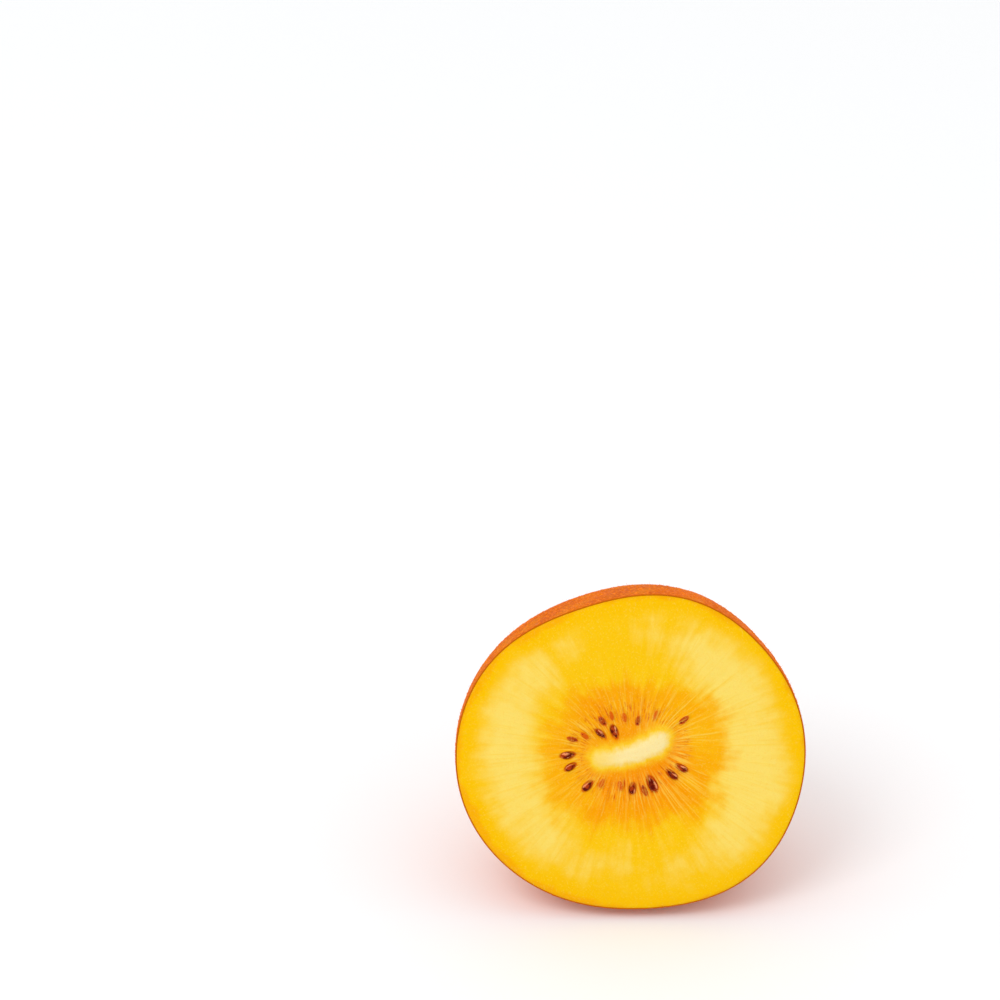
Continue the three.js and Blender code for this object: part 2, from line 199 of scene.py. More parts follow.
FADED_ALONG = (-6, 0)  # the core is yellower at its left end, and less and less so between these places

RAY_STRAY = 0.4  # rays of the fan stray from their even places by up to this share of a step
FIBRE_WIDTH = 0.1
FIBRE_WIDTHS = (0.7, 1.5)  # of the finest and the broadest, as shares of it
FIBRE_HEIGHT = 0.06
FIBRE_STRENGTH = 0.55  # middle strength of the fibres
FIBRE_STRENGTHS = (0.25, 1.0)  # of the weakest and the strongest, as shares of it
FIBRE_CROWDING = [(1, 0.3, -22.9), (2, 0.15, 0)]  # how much stronger they are on the core's right
FIBRE_STARTS = (0.35, 0.6)  # they come up out of the core between these ellipse levels
FIBRE_REACH = (1.25, 1.55)  # they end between these
FIBRE_FADE = 0.4  # and die away over this much
LONG_FIBRES = 0.14  # this share of them runs on,
LONG_REACH = 0.5  # by this much more
FIBRE_SLANT = 0.012  # how far they stray sideways for each level outward, in radians

WALL_WIDTH = 0.3  # of the walls between the seed chambers
WALL_STRENGTHS = (0.35, 1.0)
STROKES = 96  # rusty strokes of what lies just under the cut
STROKE_LEVEL = (1.0, 0.09)  # ellipse level of their middles, and how far they stray from it
STROKE_REACHES = (0.06, 0.16)  # of the shortest and the longest, to each side of that, in levels
STROKE_WIDTHS = (0.08, 0.16)
STROKE_STRENGTHS = (0.2, 1.0)
STROKE_AT_ENDS = 0.35  # off the core's ends they are only this strong

# How much a film of flesh hides a seed that stands so far above the cut, and how much the seed darkens it.
SEED_VEILS = {BARE: 0.0, VEILED: 0.45, SUNK: 0.9}
STAIN_OVER = {VEILED: 1.6, SUNK: 0.85}
FILM_THICKNESS = 0.03  # flesh left over the seeds that the cut only just missed
FILM_FALL = 0.6  # share of its height that it has lost by the seed's edge
POCKET_DEPTH = 0.08  # of the wet groove round a bare seed, and height of its lip
# Distances from a seed's middle, in half sizes of the seed.
FILM_FULL = 0.7  # a seed darkens its film fully out to here
FILM_REACH = 1.2  # and the film ends here
OPEN_END = (0.1, 0.6)  # the pointed end of a half veiled seed comes out of it between these
POCKET_GROOVE = (0.95, 0.3)  # the groove, and its width
POCKET_LIP = (1.5, 0.28)  # the lip, and its width
POCKET_STAIN = (1.0, 0.3)  # what the seed's juice stains, and its width

PAINTED_GLINT_SIDE = np.array([0.4, 1, 0])  # painted glint: pale pulp colour lies on the seeds' flanks that face this way, standing in for their highlights
SEED_HEADING = 0.13  # how far the seeds stray from pointing at the core, in radians
SEED_LEAN = 0.1  # and how far they tip up or down, as a slope
SEED_SLIMNESS = (0.82, 1.05)  # of the narrowest and the widest, as shares of the usual width
SEED_ROWS = 18
SEED_COLUMNS = 24
SEED_FULLNESS = 0.92  # half width of the drop before it tapers
SEED_ENDS = 1.3  # power that pulls its ends in from an ellipse's
SEED_TAPER = 0.55  # how much narrower its point is than its middle
SEED_STEPS = (3.7, 1.9, 2.3)  # each seed's coat reads another stretch of the noise, this far on

SKIN_COLUMNS = 360  # points of a ring of the skin
SKIN_STEPS = 104  # rings of the skin's flank
STEM_RINGS = 84  # rings of its stem end
STEM_RADII = (9.9, 0.15)  # radii of the outermost and innermost of those
LINING_STEPS = 24  # rings of the skin's hidden inner side
# The skin's cut edge, from its inner side to its outer side: share of its thickness in, and height.
RIM_PROFILE = [(1.0, -0.09), (0.72, -0.045), (0.35, -0.04), (0.1, -0.09), (0.0, -0.2), (0.0, -0.35)]
NICK_INSET = 6  # how far nicks push the edge in, as a share of its thickness for each millimetre of them
SKIN_CALM = 4  # the skin's bumps die away over this last stretch before the cut
CORK_FADE = 2.2  # the cork thins out over this width, inside its radius
SCAR_OVERRUN = 1.05  # the scar's brown runs out to this share of its radius
LIP_RADIUS = 3.25  # worn high edge round the scar
LIP_WIDTH = 0.9
BRUISE_RADIUS = 9.7  # dull skin round the cork
BRUISE_WIDTH = 3.2
PAINTED_HIGHLIGHT_AT = (-5.0, 12.5, -28.5)  # middle of a paler patch on the upper left: a painted highlight, with corky spots in it
PAINTED_HIGHLIGHT_REACH = 8

# The coarser skin that lenticels and hairs are sown on.
SOWN_COLUMNS = 240
SOWN_STEPS = 90
SOWN_STEM_RINGS = 48
SOWN_STEM_RADII = (9.9, 0.4)

# Clearance above the ground, and distance behind the cut, that these keep.
LENTICELS_KEEP_OFF = (0.25, 0.7)
HAIRS_KEEP_OFF = (1.2, 1.5)

DOME_SIDES = 6
DOME_RINGS = [(1.0, -0.5), (0.55, 0.75)]  # radius and height of a dome's rings, as shares of its own
DOME_HEIGHT = 0.06  # the lenticels stand out this far
LENTICEL_SIZES = (0.5, 1.0)  # least and greatest, as shares of the lenticel radius
LENTICEL_STRETCHES = (1.0, 1.7)  # how many times as long as wide the roundest and the longest are

HAIR_SIDES = 3
HAIR_THICKNESS = 0.028  # half the thickness of a hair's root, as a share of the hair's length
HAIR_TAPER = 0.75  # share of that which it would lose by its tip
HAIR_BENDS = [(0.0, 0.0), (0.45, 0.05), (0.8, 0.16)]  # height, and how far the hair has bent over there
HAIR_TIP = (0.26, 0, 1.0)
HAIR_LEAN = 0.35  # how far hairs stray from upright, as a slope
HAIR_ROOT = 0.05  # hairs start this far under the skin
HAIR_LENGTHS = (0.45, 1.0)  # least and greatest, as shares of the hair length
HAIRS_FAR_OFF = 0.12  # share of the hairs that grow even far from the cork
HAIRS_SPREAD = 4.5  # the others crowd within about this much of the cork's edge

# Paler clouds of the outer flesh: direction in degrees, distance from the middle, half-sizes along and
# across that direction in millimetres, and strength.
PALE_CLOUDS = [
    (2, 18.5, 5.0, 7.0, 1.0),
    (32, 19.0, 5.0, 6.0, 0.9),
    (54, 19.5, 4.6, 5.6, 0.85),
    (82, 20.5, 3.2, 3.6, 0.3),
    (118, 20.5, 2.6, 3.4, 0.3),
    (140, 20.0, 4.6, 5.0, 0.65),
    (160, 20.5, 4.2, 5.0, 0.7),
    (180, 19.2, 4.6, 5.6, 0.95),
    (202, 19.0, 4.6, 5.6, 0.8),
    (225, 19.0, 4.6, 5.4, 0.7),
    (248, 19.5, 3.2, 3.6, 0.35),
    (264, 17.5, 2.6, 2.6, 0.45),
    (290, 19.5, 3.0, 4.0, 0.35),
    (318, 19.8, 4.4, 6.0, 0.75),
    (342, 19.2, 4.8, 6.0, 1.0),
]

# The camera looks down on the half, as from a chair. Its place, in millimetres, is from the face's middle.
CAMERA_FROM_FACE = (-20.54, -496.44, 304.74)
CAMERA_PITCH = math.radians(62.36)
CAMERA_LENS = 135  # focal length in millimetres on a sensor 36 wide
SENSOR_WIDTH = 36
CAMERA_NEAR = 10  # nothing nearer than this, in millimetres, is looked at

# The stage, in metres.
BOARD_WIDTH = 6.0
BOARD_DROP = 0.02 * MM  # the board lies this far under the part
LIGHT_AT = (-0.45, -0.55, 0.9)  # the soft light hangs above the fruit, in front and to the left
LIGHT_WIDTH = 0.5
LIGHT_AIM = (0, 0, 0.02)


# ---- Colours ----


def linear(hex_colour):
    """An sRGB hex colour as the linear RGBA that the shaders take."""
    channels = []
    for at in (1, 3, 5):
        stored = int(hex_colour[at : at + 2], 16) / 255
        channels.append(stored / 12.92 if stored <= 0.04045 else ((stored + 0.055) / 1.055) ** 2.4)
    return (*channels, 1.0)


# ---- Form ----


def ramp(value, low, high):
    """Rises smoothly from 0 at low to 1 at high."""
    share = np.clip((value - low) / (high - low), 0, 1)
    return share * share * (3 - 2 * share)


def hump(value, middle, width):
    """A smooth hump of height 1 at middle, gone about two widths away."""
    return np.exp(-(((value - middle) / width) ** 2))


def lobes(waves, angle):
    """Height at an angle of a set of waves that go round."""
    return sum(depth * np.cos(count * (angle - math.radians(peak))) for count, depth, peak in waves)


def bumps(points, kinds):
    """Smooth random heights over points, summed over kinds of bumps of a size, a height and a shift."""
    flat = points.reshape(-1, 3)
    total = np.zeros(len(flat))
    for size, height, shift in kinds:
        total += height * np.array([noise.noise(Vector(point)) for point in flat / size + shift])
    return total.reshape(points.shape[:-1])


def around(count):
    """Even turns round a circle."""
    return np.arange(count) / count * TURN


def points_at(x, y, z):
    """Points from their coordinates, of which some may be the same for a whole ring or grid."""
    return np.stack(np.broadcast_arrays(x, y, z), -1)


def skin_radius(angle, roundness=0.0):
    """Distance from the face's middle to its skin, for a section that is roundness of the way to round."""
    return FACE_RADIUS + (1 - roundness) * lobes(FACE_WAVES, angle)


def sag(along, across):
    """How far the chambers near the core hang below the ellipses' long way."""
    near_core = hump(across, 0, SAG_ACROSS) * np.exp(-((along / SAG_ALONG) ** 4))
    return CORE_SAG * (1 - (along / CORE_HALF_LENGTH) ** 2) * near_core


def from_core(along, across):
    """A place given along and across the core, as x and y on the cut face."""
    hung = across - sag(along, across)
    x = CORE_AT[0] + along * math.cos(CORE_TILT) - hung * math.sin(CORE_TILT)
    y = CORE_AT[1] + along * math.sin(CORE_TILT) + hung * math.cos(CORE_TILT)
    return x, y


def to_core(x, y):
    """from_core turned back: the sag is taken out round by round."""
    east, north = x - CORE_AT[0], y - CORE_AT[1]
    along = east * math.cos(CORE_TILT) + north * math.sin(CORE_TILT)
    hung = north * math.cos(CORE_TILT) - east * math.sin(CORE_TILT)
    across = hung
    for _ in range(SAG_ROUNDS):
        across = hung + sag(along, across)
    return along, across


def core_midline(along):
    """How far across the fan the core's own middle line lies."""
    hang = CORE_BEND * (1 - (along / CORE_HALF_LENGTH) ** 2)
    return CORE_RAISE + CORE_SLOPE * along - hang


def core_outline(turn, share):
    """The core's outline, share of the way out from its middle line."""
    swell = 1 + CORE_SWELL * np.cos(turn)
    side = np.sign(np.sin(turn)) * np.sqrt(np.abs(np.sin(turn)))
    along = (CORE_HALF_LENGTH - (1 - share) * CORE_HALF_WIDTH) * np.cos(turn)
    return from_core(along, core_midline(along) + share * CORE_HALF_WIDTH * swell * side)


def chamber_point(turn, level):
    """A place on the confocal ellipse level, in the direction turn round the core."""
    along = FOCUS * np.cosh(level) * np.cos(turn)
    return from_core(along, FOCUS * np.sinh(level) * np.sin(turn))


def chamber_of(x, y):
    """chamber_point turned back: the direction and level of places on the cut face."""
    along, across = to_core(x, y)
    left = np.hypot(along + FOCUS, across)
    right = np.hypot(along - FOCUS, across)
    level = np.arccosh(np.maximum(1, (left + right) / (2 * FOCUS)))
    turn = np.arccos(np.clip((left - right) / (2 * FOCUS), -1, 1))
    return np.where(across < 0, -turn, turn), level


def rim_point(turn, inset=0.0):
    """A place on the rim of the cut, or inset inside it."""
    angle = turn + CORE_TILT
    radius = skin_radius(angle) - inset
    return radius * np.cos(angle), radius * np.sin(angle)


def depth_at(share):
    """Depth behind the cut at which the skin has closed in to share of its full radius."""
    return HALF_LENGTH * (1 - share**BLUNTNESS) ** (1 / BLUNTNESS)


def stem_relief(radius, angle):
    """The stem end's relief as a push away from the fruit: hollow, lumpy collar and the stem's scar."""
    relief = -STEM_DIMPLE * hump(radius, 0, STEM_DIMPLE_RADIUS)
    relief += COLLAR_HEIGHT * (1 + lobes(COLLAR_LUMPS, angle)) * hump(radius, COLLAR_RADIUS, COLLAR_WIDTH)
    relief -= SCAR_DEPTH * (1 - ramp(radius, SCAR_FLOOR_RADIUS, SCAR_RADIUS))
    return relief + STUB_HEIGHT * hump(radius, 0, STUB_RADIUS)


def skin_unevenness(angle, depth_share):
    """Gentle waves that wind round the grown skin and fade out toward the cut."""
    height = 0
    for wave in range(SKIN_WAVES):
        phase = (2 + wave % 5) * angle + (1 + 0.5 * wave) * math.pi * depth_share
        height = height + SKIN_WAVE_DEPTH * np.cos(phase + wave * GOLDEN_ANGLE)
    return height * ramp(depth_share, 0, SKIN_WAVE_START)


def skin_rings(shares, columns):
    """Points of the skin, one ring for each share of the full radius, from behind the cut to the stem."""
    share = np.asarray(shares)[:, None]
    angle = around(columns) + CORE_TILT
    depth = depth_at(share)
    depth_share = depth / HALF_LENGTH
    radius = skin_radius(angle, depth_share**2) * share
    outward = radius + skin_unevenness(angle, depth_share) * np.sqrt(share)
    x = outward * np.cos(angle) + AXIS_DRIFT[0] * depth_share**2
    y = outward * np.sin(angle) + AXIS_DRIFT[1] * depth_share**2
    return points_at(x, y, -depth - stem_relief(radius, angle))


def flank_shares(steps):
    """Shares of the full radius by even steps of the lengthwise profile's angle."""
    return np.cos(np.arange(1, steps + 1) / steps * FLANK_TURN) ** (2 / BLUNTNESS)


# ---- From the fruit's own frame to the part's ----

UP = np.array([0, math.cos(LEAN_BACK), math.sin(LEAN_BACK)])  # the lying half's up, in the fruit's frame
OUT = np.array([0, -math.cos(LEAN_BACK), math.sin(LEAN_BACK)])  # the fruit's Z, in the part's frame
UP_FACE = np.array([0, math.sin(LEAN_BACK), math.cos(LEAN_BACK)])  # the fruit's Y, in the part's frame
LYING = np.array([[1, 0, 0], UP_FACE, OUT])

FLANK = skin_rings(flank_shares(FLANK_STEPS), CHAMBERS * COLUMNS_PER_CHAMBER)  # before it is pressed flat
GROUND = float((FLANK @ UP).min()) + FLAT_SPOT_DEPTH  # height of the surface that the half lies on


def face_middle():
    """Where the fruit's own origin lies in the part's frame, in millimetres, from the part's box."""
    low, high = (np.array(corner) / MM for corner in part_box(NODE))
    widest = FLANK[..., 0].max() + FLANK[..., 0].min()
    edge = np.stack(rim_point(np.linspace(0, TURN, RIM_SAMPLES), RIM_BEVEL), -1)
    nearest = (edge[:, 1] * UP_FACE[1]).min()
    return np.array([(low[0] + high[0] - widest) / 2, low[1] - nearest, low[2] - GROUND])


ORIGIN = face_middle()


def placed(points):
    """Points of the fruit's frame, in millimetres, as they lie in the part's frame, in metres."""
    return (points @ LYING + ORIGIN) * MM


def pressed(points):
    """Points with whatever is lower than the surface that the half lies on pushed up to it."""
    return points + np.maximum(0, GROUND - points @ UP)[..., None] * UP


# ---- Mesh code ----


def grid_normals(grid):
    """Outward directions at the points of a grid of rings."""
    round_it = np.roll(grid, -1, 1) - np.roll(grid, 1, 1)
    normals = np.cross(np.gradient(grid, axis=0), round_it)
    return normals / np.maximum(np.linalg.norm(normals, axis=-1, keepdims=True), 1e-12)


def ring_faces(rows, columns):
    """Four-sided faces between neighbouring rings, each ring closed on itself."""
    row, column = np.meshgrid(np.arange(rows - 1), np.arange(columns), indexing="ij")
    here, following = row * columns, (column + 1) % columns
    below = here + columns
    corners = [here + column, below + column, below + following, here + following]
    return np.stack(corners, -1).reshape(-1, 4).tolist()


def closed(rings, *tips):
    """Points and faces of a surface through rings, closed on a tip at its end, and on one at its start too
    where two tips are given."""
    rows, columns = rings.shape[:2]
    points = np.concatenate([rings.reshape(-1, 3), tips])
    faces = ring_faces(rows, columns)
    last_ring, last_tip = (rows - 1) * columns, len(points) - 1
    for column in range(columns):
        following = (column + 1) % columns
        faces.append((last_ring + column, last_tip, last_ring + following))
        if len(tips) == 2:
            faces.append((last_tip - 1, column, following))
    return points, faces


def flipped(faces):
    """Faces that look the other way."""
    return [tuple(reversed(face)) for face in faces]


def sewn_faces(columns):
    """Faces that sew the first ring shut across its middle line."""
    half = columns // 2
    quads = []
    for column in range(1, half - 1):
        across = columns - column
        quads.append((column, column + 1, across - 1, across))
    return [(0, 1, columns - 1), *quads, (half - 1, half, half + 1)]


def new_object(name, data):
    """An object of the scene with this mesh, lamp or lens."""
    made = bpy.data.objects.new(name, data)
    bpy.context.scene.collection.objects.link(made)
    return made


def new_piece(name, points, faces, material, attributes):
    """A smooth piece that rides on the part's body, with values at its points for its material to read."""
    mesh = bpy.data.meshes.new(name)
    mesh.from_pydata(placed(points).tolist(), [], faces)
    for key, values in attributes.items():
        kind, field = ("FLOAT_VECTOR", "vector") if values.ndim == 2 else ("FLOAT", "value")
        layer = mesh.attributes.new(key, kind, "POINT")
        layer.data.foreach_set(field, values.astype(np.float32).ravel())
    mesh.shade_smooth()
    mesh.materials.append(material)
    piece = new_object(name, mesh)
    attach(piece, BODY)
    return piece


def repeated(shape, places, frames):
    """Many copies of a small shape: one for each place, turned by its frame of three axes."""
    points, faces = shape
    copies = places[:, None, :] + np.einsum("pa,nab->npb", points, frames)
    shifted = []
    for first in range(0, len(places) * len(points), len(points)):
        shifted += [tuple(corner + first for corner in face) for face in faces]
    return copies.reshape(-1, 3), shifted


# ---- The cut face ----


def between(start, end, count):
    """Evenly spaced rings that lead from one ring to another."""
    start, end = np.array(start), np.array(end)
    return [start + (end - start) * share for share in np.linspace(0, 1, count + 2)[1:-1]]


def face_lines(skin_thickness):
    """Places of the cut face, ring by ring from the core's middle line out to the skin, as x and y."""
    turn = around(FACE_COLUMNS)
    core = [core_outline(turn, share) for share in np.linspace(CORE_START, 1, CORE_RINGS)]
    fan = [chamber_point(turn, level) for level in np.linspace(*FAN_LEVELS, FAN_RINGS)]
    rim = rim_point(turn, skin_thickness + SKIN_CLEARANCE)
    joint, outer = between(core[-1], fan[0], JOIN_RINGS), between(fan[-1], rim, OUTER_RINGS)
    return np.moveaxis(np.array([*core, *joint, *fan, *outer, rim]), 1, -1)


def fan_spread(turn, level):
    """How many millimetres apart rays of the fan lie at places on it, for each radian between them."""
    return FOCUS * np.sqrt(np.sinh(level) ** 2 + np.sin(turn) ** 2)


def stray_ray(draw, ray, count):
    """Direction of one of count rays of the fan, a little off its even place."""
    return (ray + draw.uniform(-RAY_STRAY, RAY_STRAY)) / count * TURN


def from_ray(turn, ray):
    """Turns from a ray round to places, the short way."""
    return np.angle(np.exp(1j * (turn - ray)))


def fibre_field(turn, level, count):
    """How much of a pale fibre runs through each place: fine strands that fan out from the core."""
    draw = np.random.default_rng(11)
    spread = fan_spread(turn, level)
    total = np.zeros_like(turn)
    for strand in range(count):
        ray = stray_ray(draw, strand, count)
        strength = draw.uniform(*FIBRE_STRENGTHS) * (FIBRE_STRENGTH + lobes(FIBRE_CROWDING, ray))
        end = draw.uniform(*FIBRE_REACH) + LONG_REACH * (draw.random() < LONG_FIBRES)
        off = from_ray(turn, ray + draw.normal(0, FIBRE_SLANT) * level) * spread
        beside = hump(off, 0, FIBRE_WIDTH * draw.uniform(*FIBRE_WIDTHS))
        along = ramp(level, *FIBRE_STARTS) * (1 - ramp(level, end - FIBRE_FADE, end))
        total = np.maximum(total, strength * beside * along)
    return total


def ghost_strokes(turn, level):
    """Fine rusty strokes where seeds and their threads lie just under the cut."""
    draw = np.random.default_rng(5)
    spread = fan_spread(turn, level)
    total = np.zeros_like(turn)
    for stroke in range(STROKES):
        ray = stray_ray(draw, stroke, STROKES)
        middle, reach = draw.normal(*STROKE_LEVEL), draw.uniform(*STROKE_REACHES)
        # They are strongest above and below the core.
        by_side = STROKE_AT_ENDS + (1 - STROKE_AT_ENDS) * abs(math.sin(ray))
        strength = draw.uniform(*STROKE_STRENGTHS) * by_side
        beside = hump(from_ray(turn, ray) * spread, 0, draw.uniform(*STROKE_WIDTHS))
        total = np.maximum(total, strength * beside * hump(level, middle, reach))
    return total


def wall_field(turn, level):
    """The walls between the seed chambers, each a little stronger or weaker than the next."""
    strength = np.random.default_rng(3).uniform(*WALL_STRENGTHS, CHAMBERS)
    phase = turn / TURN * CHAMBERS
    nearest = np.round(phase).astype(int)
    off = (phase - nearest) * TURN / CHAMBERS * fan_spread(turn, level)
    return strength[nearest % CHAMBERS] * hump(off, 0, WALL_WIDTH) * hump(level, RIB_LEVEL, RIB_SPREAD)


def seed_places():
    """Where the seeds lie: place on the cut, direction away from the core, length, width and thickness,
    and how far the back stands above the cut."""
    draw = np.random.default_rng(17)
    seeds = []
    for turn_degrees, level, stand, size in SEEDS:
        turn = math.radians(turn_degrees)
        spot = np.array(chamber_point(turn, level))
        outward = np.array(chamber_point(turn, level + 0.1)) - spot
        heading = math.atan2(outward[1], outward[0]) + draw.normal(0, SEED_HEADING)
        width = SEED_WIDTH * draw.uniform(*SEED_SLIMNESS)
        shape = size * np.array([SEED_LENGTH, width, SEED_THICKNESS])
        seeds.append((spot, np.array([math.cos(heading), math.sin(heading)]), shape, stand))
    return seeds


def seed_marks(x, y, height):
    """The flesh's height with a wet pocket round each bare seed and a film over each buried one, and how
    much the seeds stain it."""
    stain = np.zeros_like(x)
    for spot, outward, (length, width, _), stand in seed_places():
        along = ((x - spot[0]) * outward[0] + (y - spot[1]) * outward[1]) / (length / 2)
        across = ((y - spot[1]) * outward[0] - (x - spot[0]) * outward[1]) / (width / 2)
        away = np.hypot(along, across)
        if stand == BARE:
            height = height + POCKET_DEPTH * (hump(away, *POCKET_LIP) - hump(away, *POCKET_GROOVE))
            stain = np.maximum(stain, hump(away, *POCKET_STAIN))
        else:
            # The film leaves the pointed end of a half veiled seed open.
            open_end = ramp(-along, *OPEN_END) if stand == VEILED else 0
            film = (stand + FILM_THICKNESS) * (1 - FILM_FALL * away**2) * (1 - open_end)
            height = np.where(away < FILM_REACH, np.maximum(height, film), height)
            stain = np.maximum(stain, STAIN_OVER[stand] * (1 - ramp(away, FILM_FULL, FILM_REACH)))
    return height, stain


def pale_field(x, y):
    """Where the outer flesh is clouded paler, from 0 to 1."""
    clear = np.ones_like(x)
    for direction, distance, half_along, half_across, strength in PALE_CLOUDS:
        east, north = math.cos(math.radians(direction)), math.sin(math.radians(direction))
        along = (x * east + y * north - distance) / half_along
        across = (y * east - x * north) / half_across
        clear *= 1 - strength * hump(np.hypot(along, across), 0, 1)
    return 1 - clear


def face_surface(skin_thickness, fibre_count):
    """The cut face as rings of points, with the values that its material reads."""
    places = face_lines(skin_thickness)
    x, y = places[..., 0], places[..., 1]
    angle = np.arctan2(y, x)
    turn, level = chamber_of(x, y)
    along, across = to_core(x, y)
    rim_gap = skin_radius(angle) - np.hypot(x, y)
    half_width = CORE_HALF_WIDTH * (1 + CORE_SWELL * along / CORE_HALF_LENGTH)
    past_end = np.maximum(np.abs(along) - (CORE_HALF_LENGTH - CORE_HALF_WIDTH), 0)
    core_gap = np.hypot(past_end, across - core_midline(along)) - half_width
    fibre = fibre_field(turn, level, fibre_count)

    height = CORE_RISE * (1 - ramp(core_gap, *CORE_SHOULDER))
    height -= TROUGH_DEPTH * hump(level, TROUGH_LEVEL, TROUGH_SPREAD) * ramp(core_gap, 0, CORE_FOOT)
    height += RIB_HEIGHT * wall_field(turn, level)
    height += FLESH_SWELL * hump(rim_gap, SWELL_MIDDLE, SWELL_SPREAD) * ramp(level, *SWELL_STARTS)
    height, stain = seed_marks(x, y, height)
    height += FIBRE_HEIGHT * fibre + bumps(points_at(x, y, 0), FLESH_BUMPS)
    height -= RIM_DROOP * (1 - ramp(rim_gap, skin_thickness, skin_thickness + RIM_DROOP_WIDTH))
    values = {
        "fan": np.stack([np.cos(turn), np.sin(turn), level], -1),
        "zone": level - ZONE_LEVEL - lobes(ZONE_LOBES, turn),
        # The rim's distance carries painted light: it is pushed out on the right, so the golden rim there is
        # paler.
        "rim_gap": rim_gap + lobes(PAINTED_LIGHT_RIM_LOBES, angle),
        "core_gap": core_gap,
        "fibre": fibre,
        "stain": np.maximum(stain, ghost_strokes(turn, level)),
        "pale": pale_field(x, y),
        "ring": hump(level, RING_LEVEL, RING_SPREAD) * ramp(core_gap, *RING_STARTS),
        "deep": DEEP_MEAN + lobes(DEEP_LOBES, turn),
        "rusty": hump(level, RUST_LEVEL, RUST_SPREAD) * np.maximum(0, np.cos(turn - RUST_SIDE)),
        "faded": 1 - ramp(along, *FADED_ALONG),
    }
    return points_at(x, y, height), values


def build_flesh(sizes, colours):
    """The flesh: the finely modelled cut face, closed by a plain back just inside the skin."""
    thickness = sizes.skin_thickness / MM
    face, values = face_surface(thickness, sizes.fibre_count)
    lip = points_at(*rim_point(around(FACE_COLUMNS), thickness * FLESH_INSET), -RIM_BEVEL)
    back = skin_rings(flank_shares(BACK_STEPS), FACE_COLUMNS)
    back = pressed(back) - grid_normals(back) * thickness * FLESH_INSET
    points, faces = closed(np.concatenate([face, lip[None], back]), (*AXIS_DRIFT, STEM_END_INSIDE))
    faces += sewn_faces(FACE_COLUMNS)
    for key, field in values.items():
        shown = field.reshape(-1, *field.shape[2:])
        hidden = np.zeros((len(points) - len(shown), *shown.shape[1:]))
        values[key] = np.concatenate([shown, hidden])
    piece = new_piece("kiwi_flesh", points, faces, flesh_material(colours), values)
    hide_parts(NODE)


# ---- The seeds ----


def seed_shape():
    """A smooth drop of length, width and thickness 1 along X, Y and Z, its point at negative X."""
    turn = np.arange(1, SEED_ROWS)[:, None] / SEED_ROWS * math.pi
    wide = SEED_FULLNESS * np.sin(turn) ** SEED_ENDS * (1 - SEED_TAPER * np.cos(turn)) / 2
    round_it = around(SEED_COLUMNS)
    rings = points_at(-0.5 * np.cos(turn), wide * np.cos(round_it), wide * np.sin(round_it))
    points, faces = closed(rings, (-0.5, 0, 0), (0.5, 0, 0))
    # The rings run from the point to the round end and turn from Y to Z, so the faces are flipped.
    return points, flipped(faces)


def build_seeds(colours):
    """The seeds that the cut laid bare or nearly so, half sunk in the flesh."""
    shape = seed_shape()
    drop = shape[0]
    draw = np.random.default_rng(29)
    places, frames, veils, flanks = [], [], [], []
    for spot, outward, (length, width, thickness), stand in seed_places():
        lean = draw.normal(0, SEED_LEAN)
        forward = np.array([*outward, lean]) / math.hypot(1, lean)
        sideways = np.array([-outward[1], outward[0], 0])
        places.append([*spot, stand - thickness / 2])
        frames.append([length * forward, width * sideways, thickness * np.cross(forward, sideways)])
        veils.append(SEED_VEILS[stand])
        # Painted glint: the flank that faces up and to the right takes pale pulp colour.
        flanks.append(drop[:, 1] * np.sign(sideways @ PAINTED_GLINT_SIDE))
    points, faces = repeated(shape, np.array(places), np.array(frames))
    points = points + bumps(points, SEED_BUMPS)[:, None] * SEED_BUMPS_PUSH
    shifts = np.arange(len(places))[:, None, None] * SEED_STEPS
    values = {
        "veil": np.repeat(veils, len(drop)),
        "flank": np.concatenate(flanks),
        "coat": (drop[None] * (SEED_LENGTH, SEED_WIDTH, SEED_THICKNESS) + shifts).reshape(-1, 3),
    }
    new_piece("kiwi_seeds", points, faces, seed_material(colours), values)


# ---- The skin ----


def skin_surface():
    """The skin's outer surface as rings from the rim to the stem end, with what its material reads."""
    stem = np.linspace(*STEM_RADII, STEM_RINGS) / FACE_RADIUS
    shares = np.concatenate([flank_shares(SKIN_STEPS), stem])
    smooth = skin_rings(shares, SKIN_COLUMNS)
    radius = np.broadcast_to((shares * FACE_RADIUS)[:, None], smooth.shape[:2])
    ragged = radius + bumps(smooth, CORK_STRAYS)
    scar_edge = radius + bumps(smooth, SCAR_STRAYS)
    # A paler patch near the stem end, on the upper left: a painted highlight.
    from_painted_highlight = np.linalg.norm(smooth - PAINTED_HIGHLIGHT_AT, axis=-1) + bumps(smooth, PAINTED_HIGHLIGHT_STRAYS)
    cork = 1 - ramp(ragged, CORK_RADIUS - CORK_FADE, CORK_RADIUS)
    values = {
        "cork": cork,
        "painted_highlight": 1 - ramp(from_painted_highlight, 0, PAINTED_HIGHLIGHT_REACH),
        "scar": 1 - ramp(scar_edge, SCAR_FLOOR_RADIUS, SCAR_RADIUS * SCAR_OVERRUN),
        "lip": hump(ragged, LIP_RADIUS, LIP_WIDTH),
        "bruise": hump(ragged, BRUISE_RADIUS, BRUISE_WIDTH),
    }
    rough = bumps(smooth, SKIN_BUMPS) * ramp(-smooth[..., 2], 0, SKIN_CALM)
    push = rough + bumps(smooth, CORK_BUMPS) * cork
    return pressed(smooth + grid_normals(smooth) * push[..., None]), values


def rim_rings(thickness):
    """The skin's cut edge: rings from its inner side round to its outer side, with small nicks."""
    turn = around(SKIN_COLUMNS)
    nicks = bumps(points_at(*rim_point(turn), 0), RIM_NICKS)
    rings = []
    for share, height in RIM_PROFILE:
        edge = rim_point(turn, share * thickness * (1 + NICK_INSET * nicks))
        rings.append(points_at(*edge, height + nicks * (1 - share)))
    return np.array(rings)


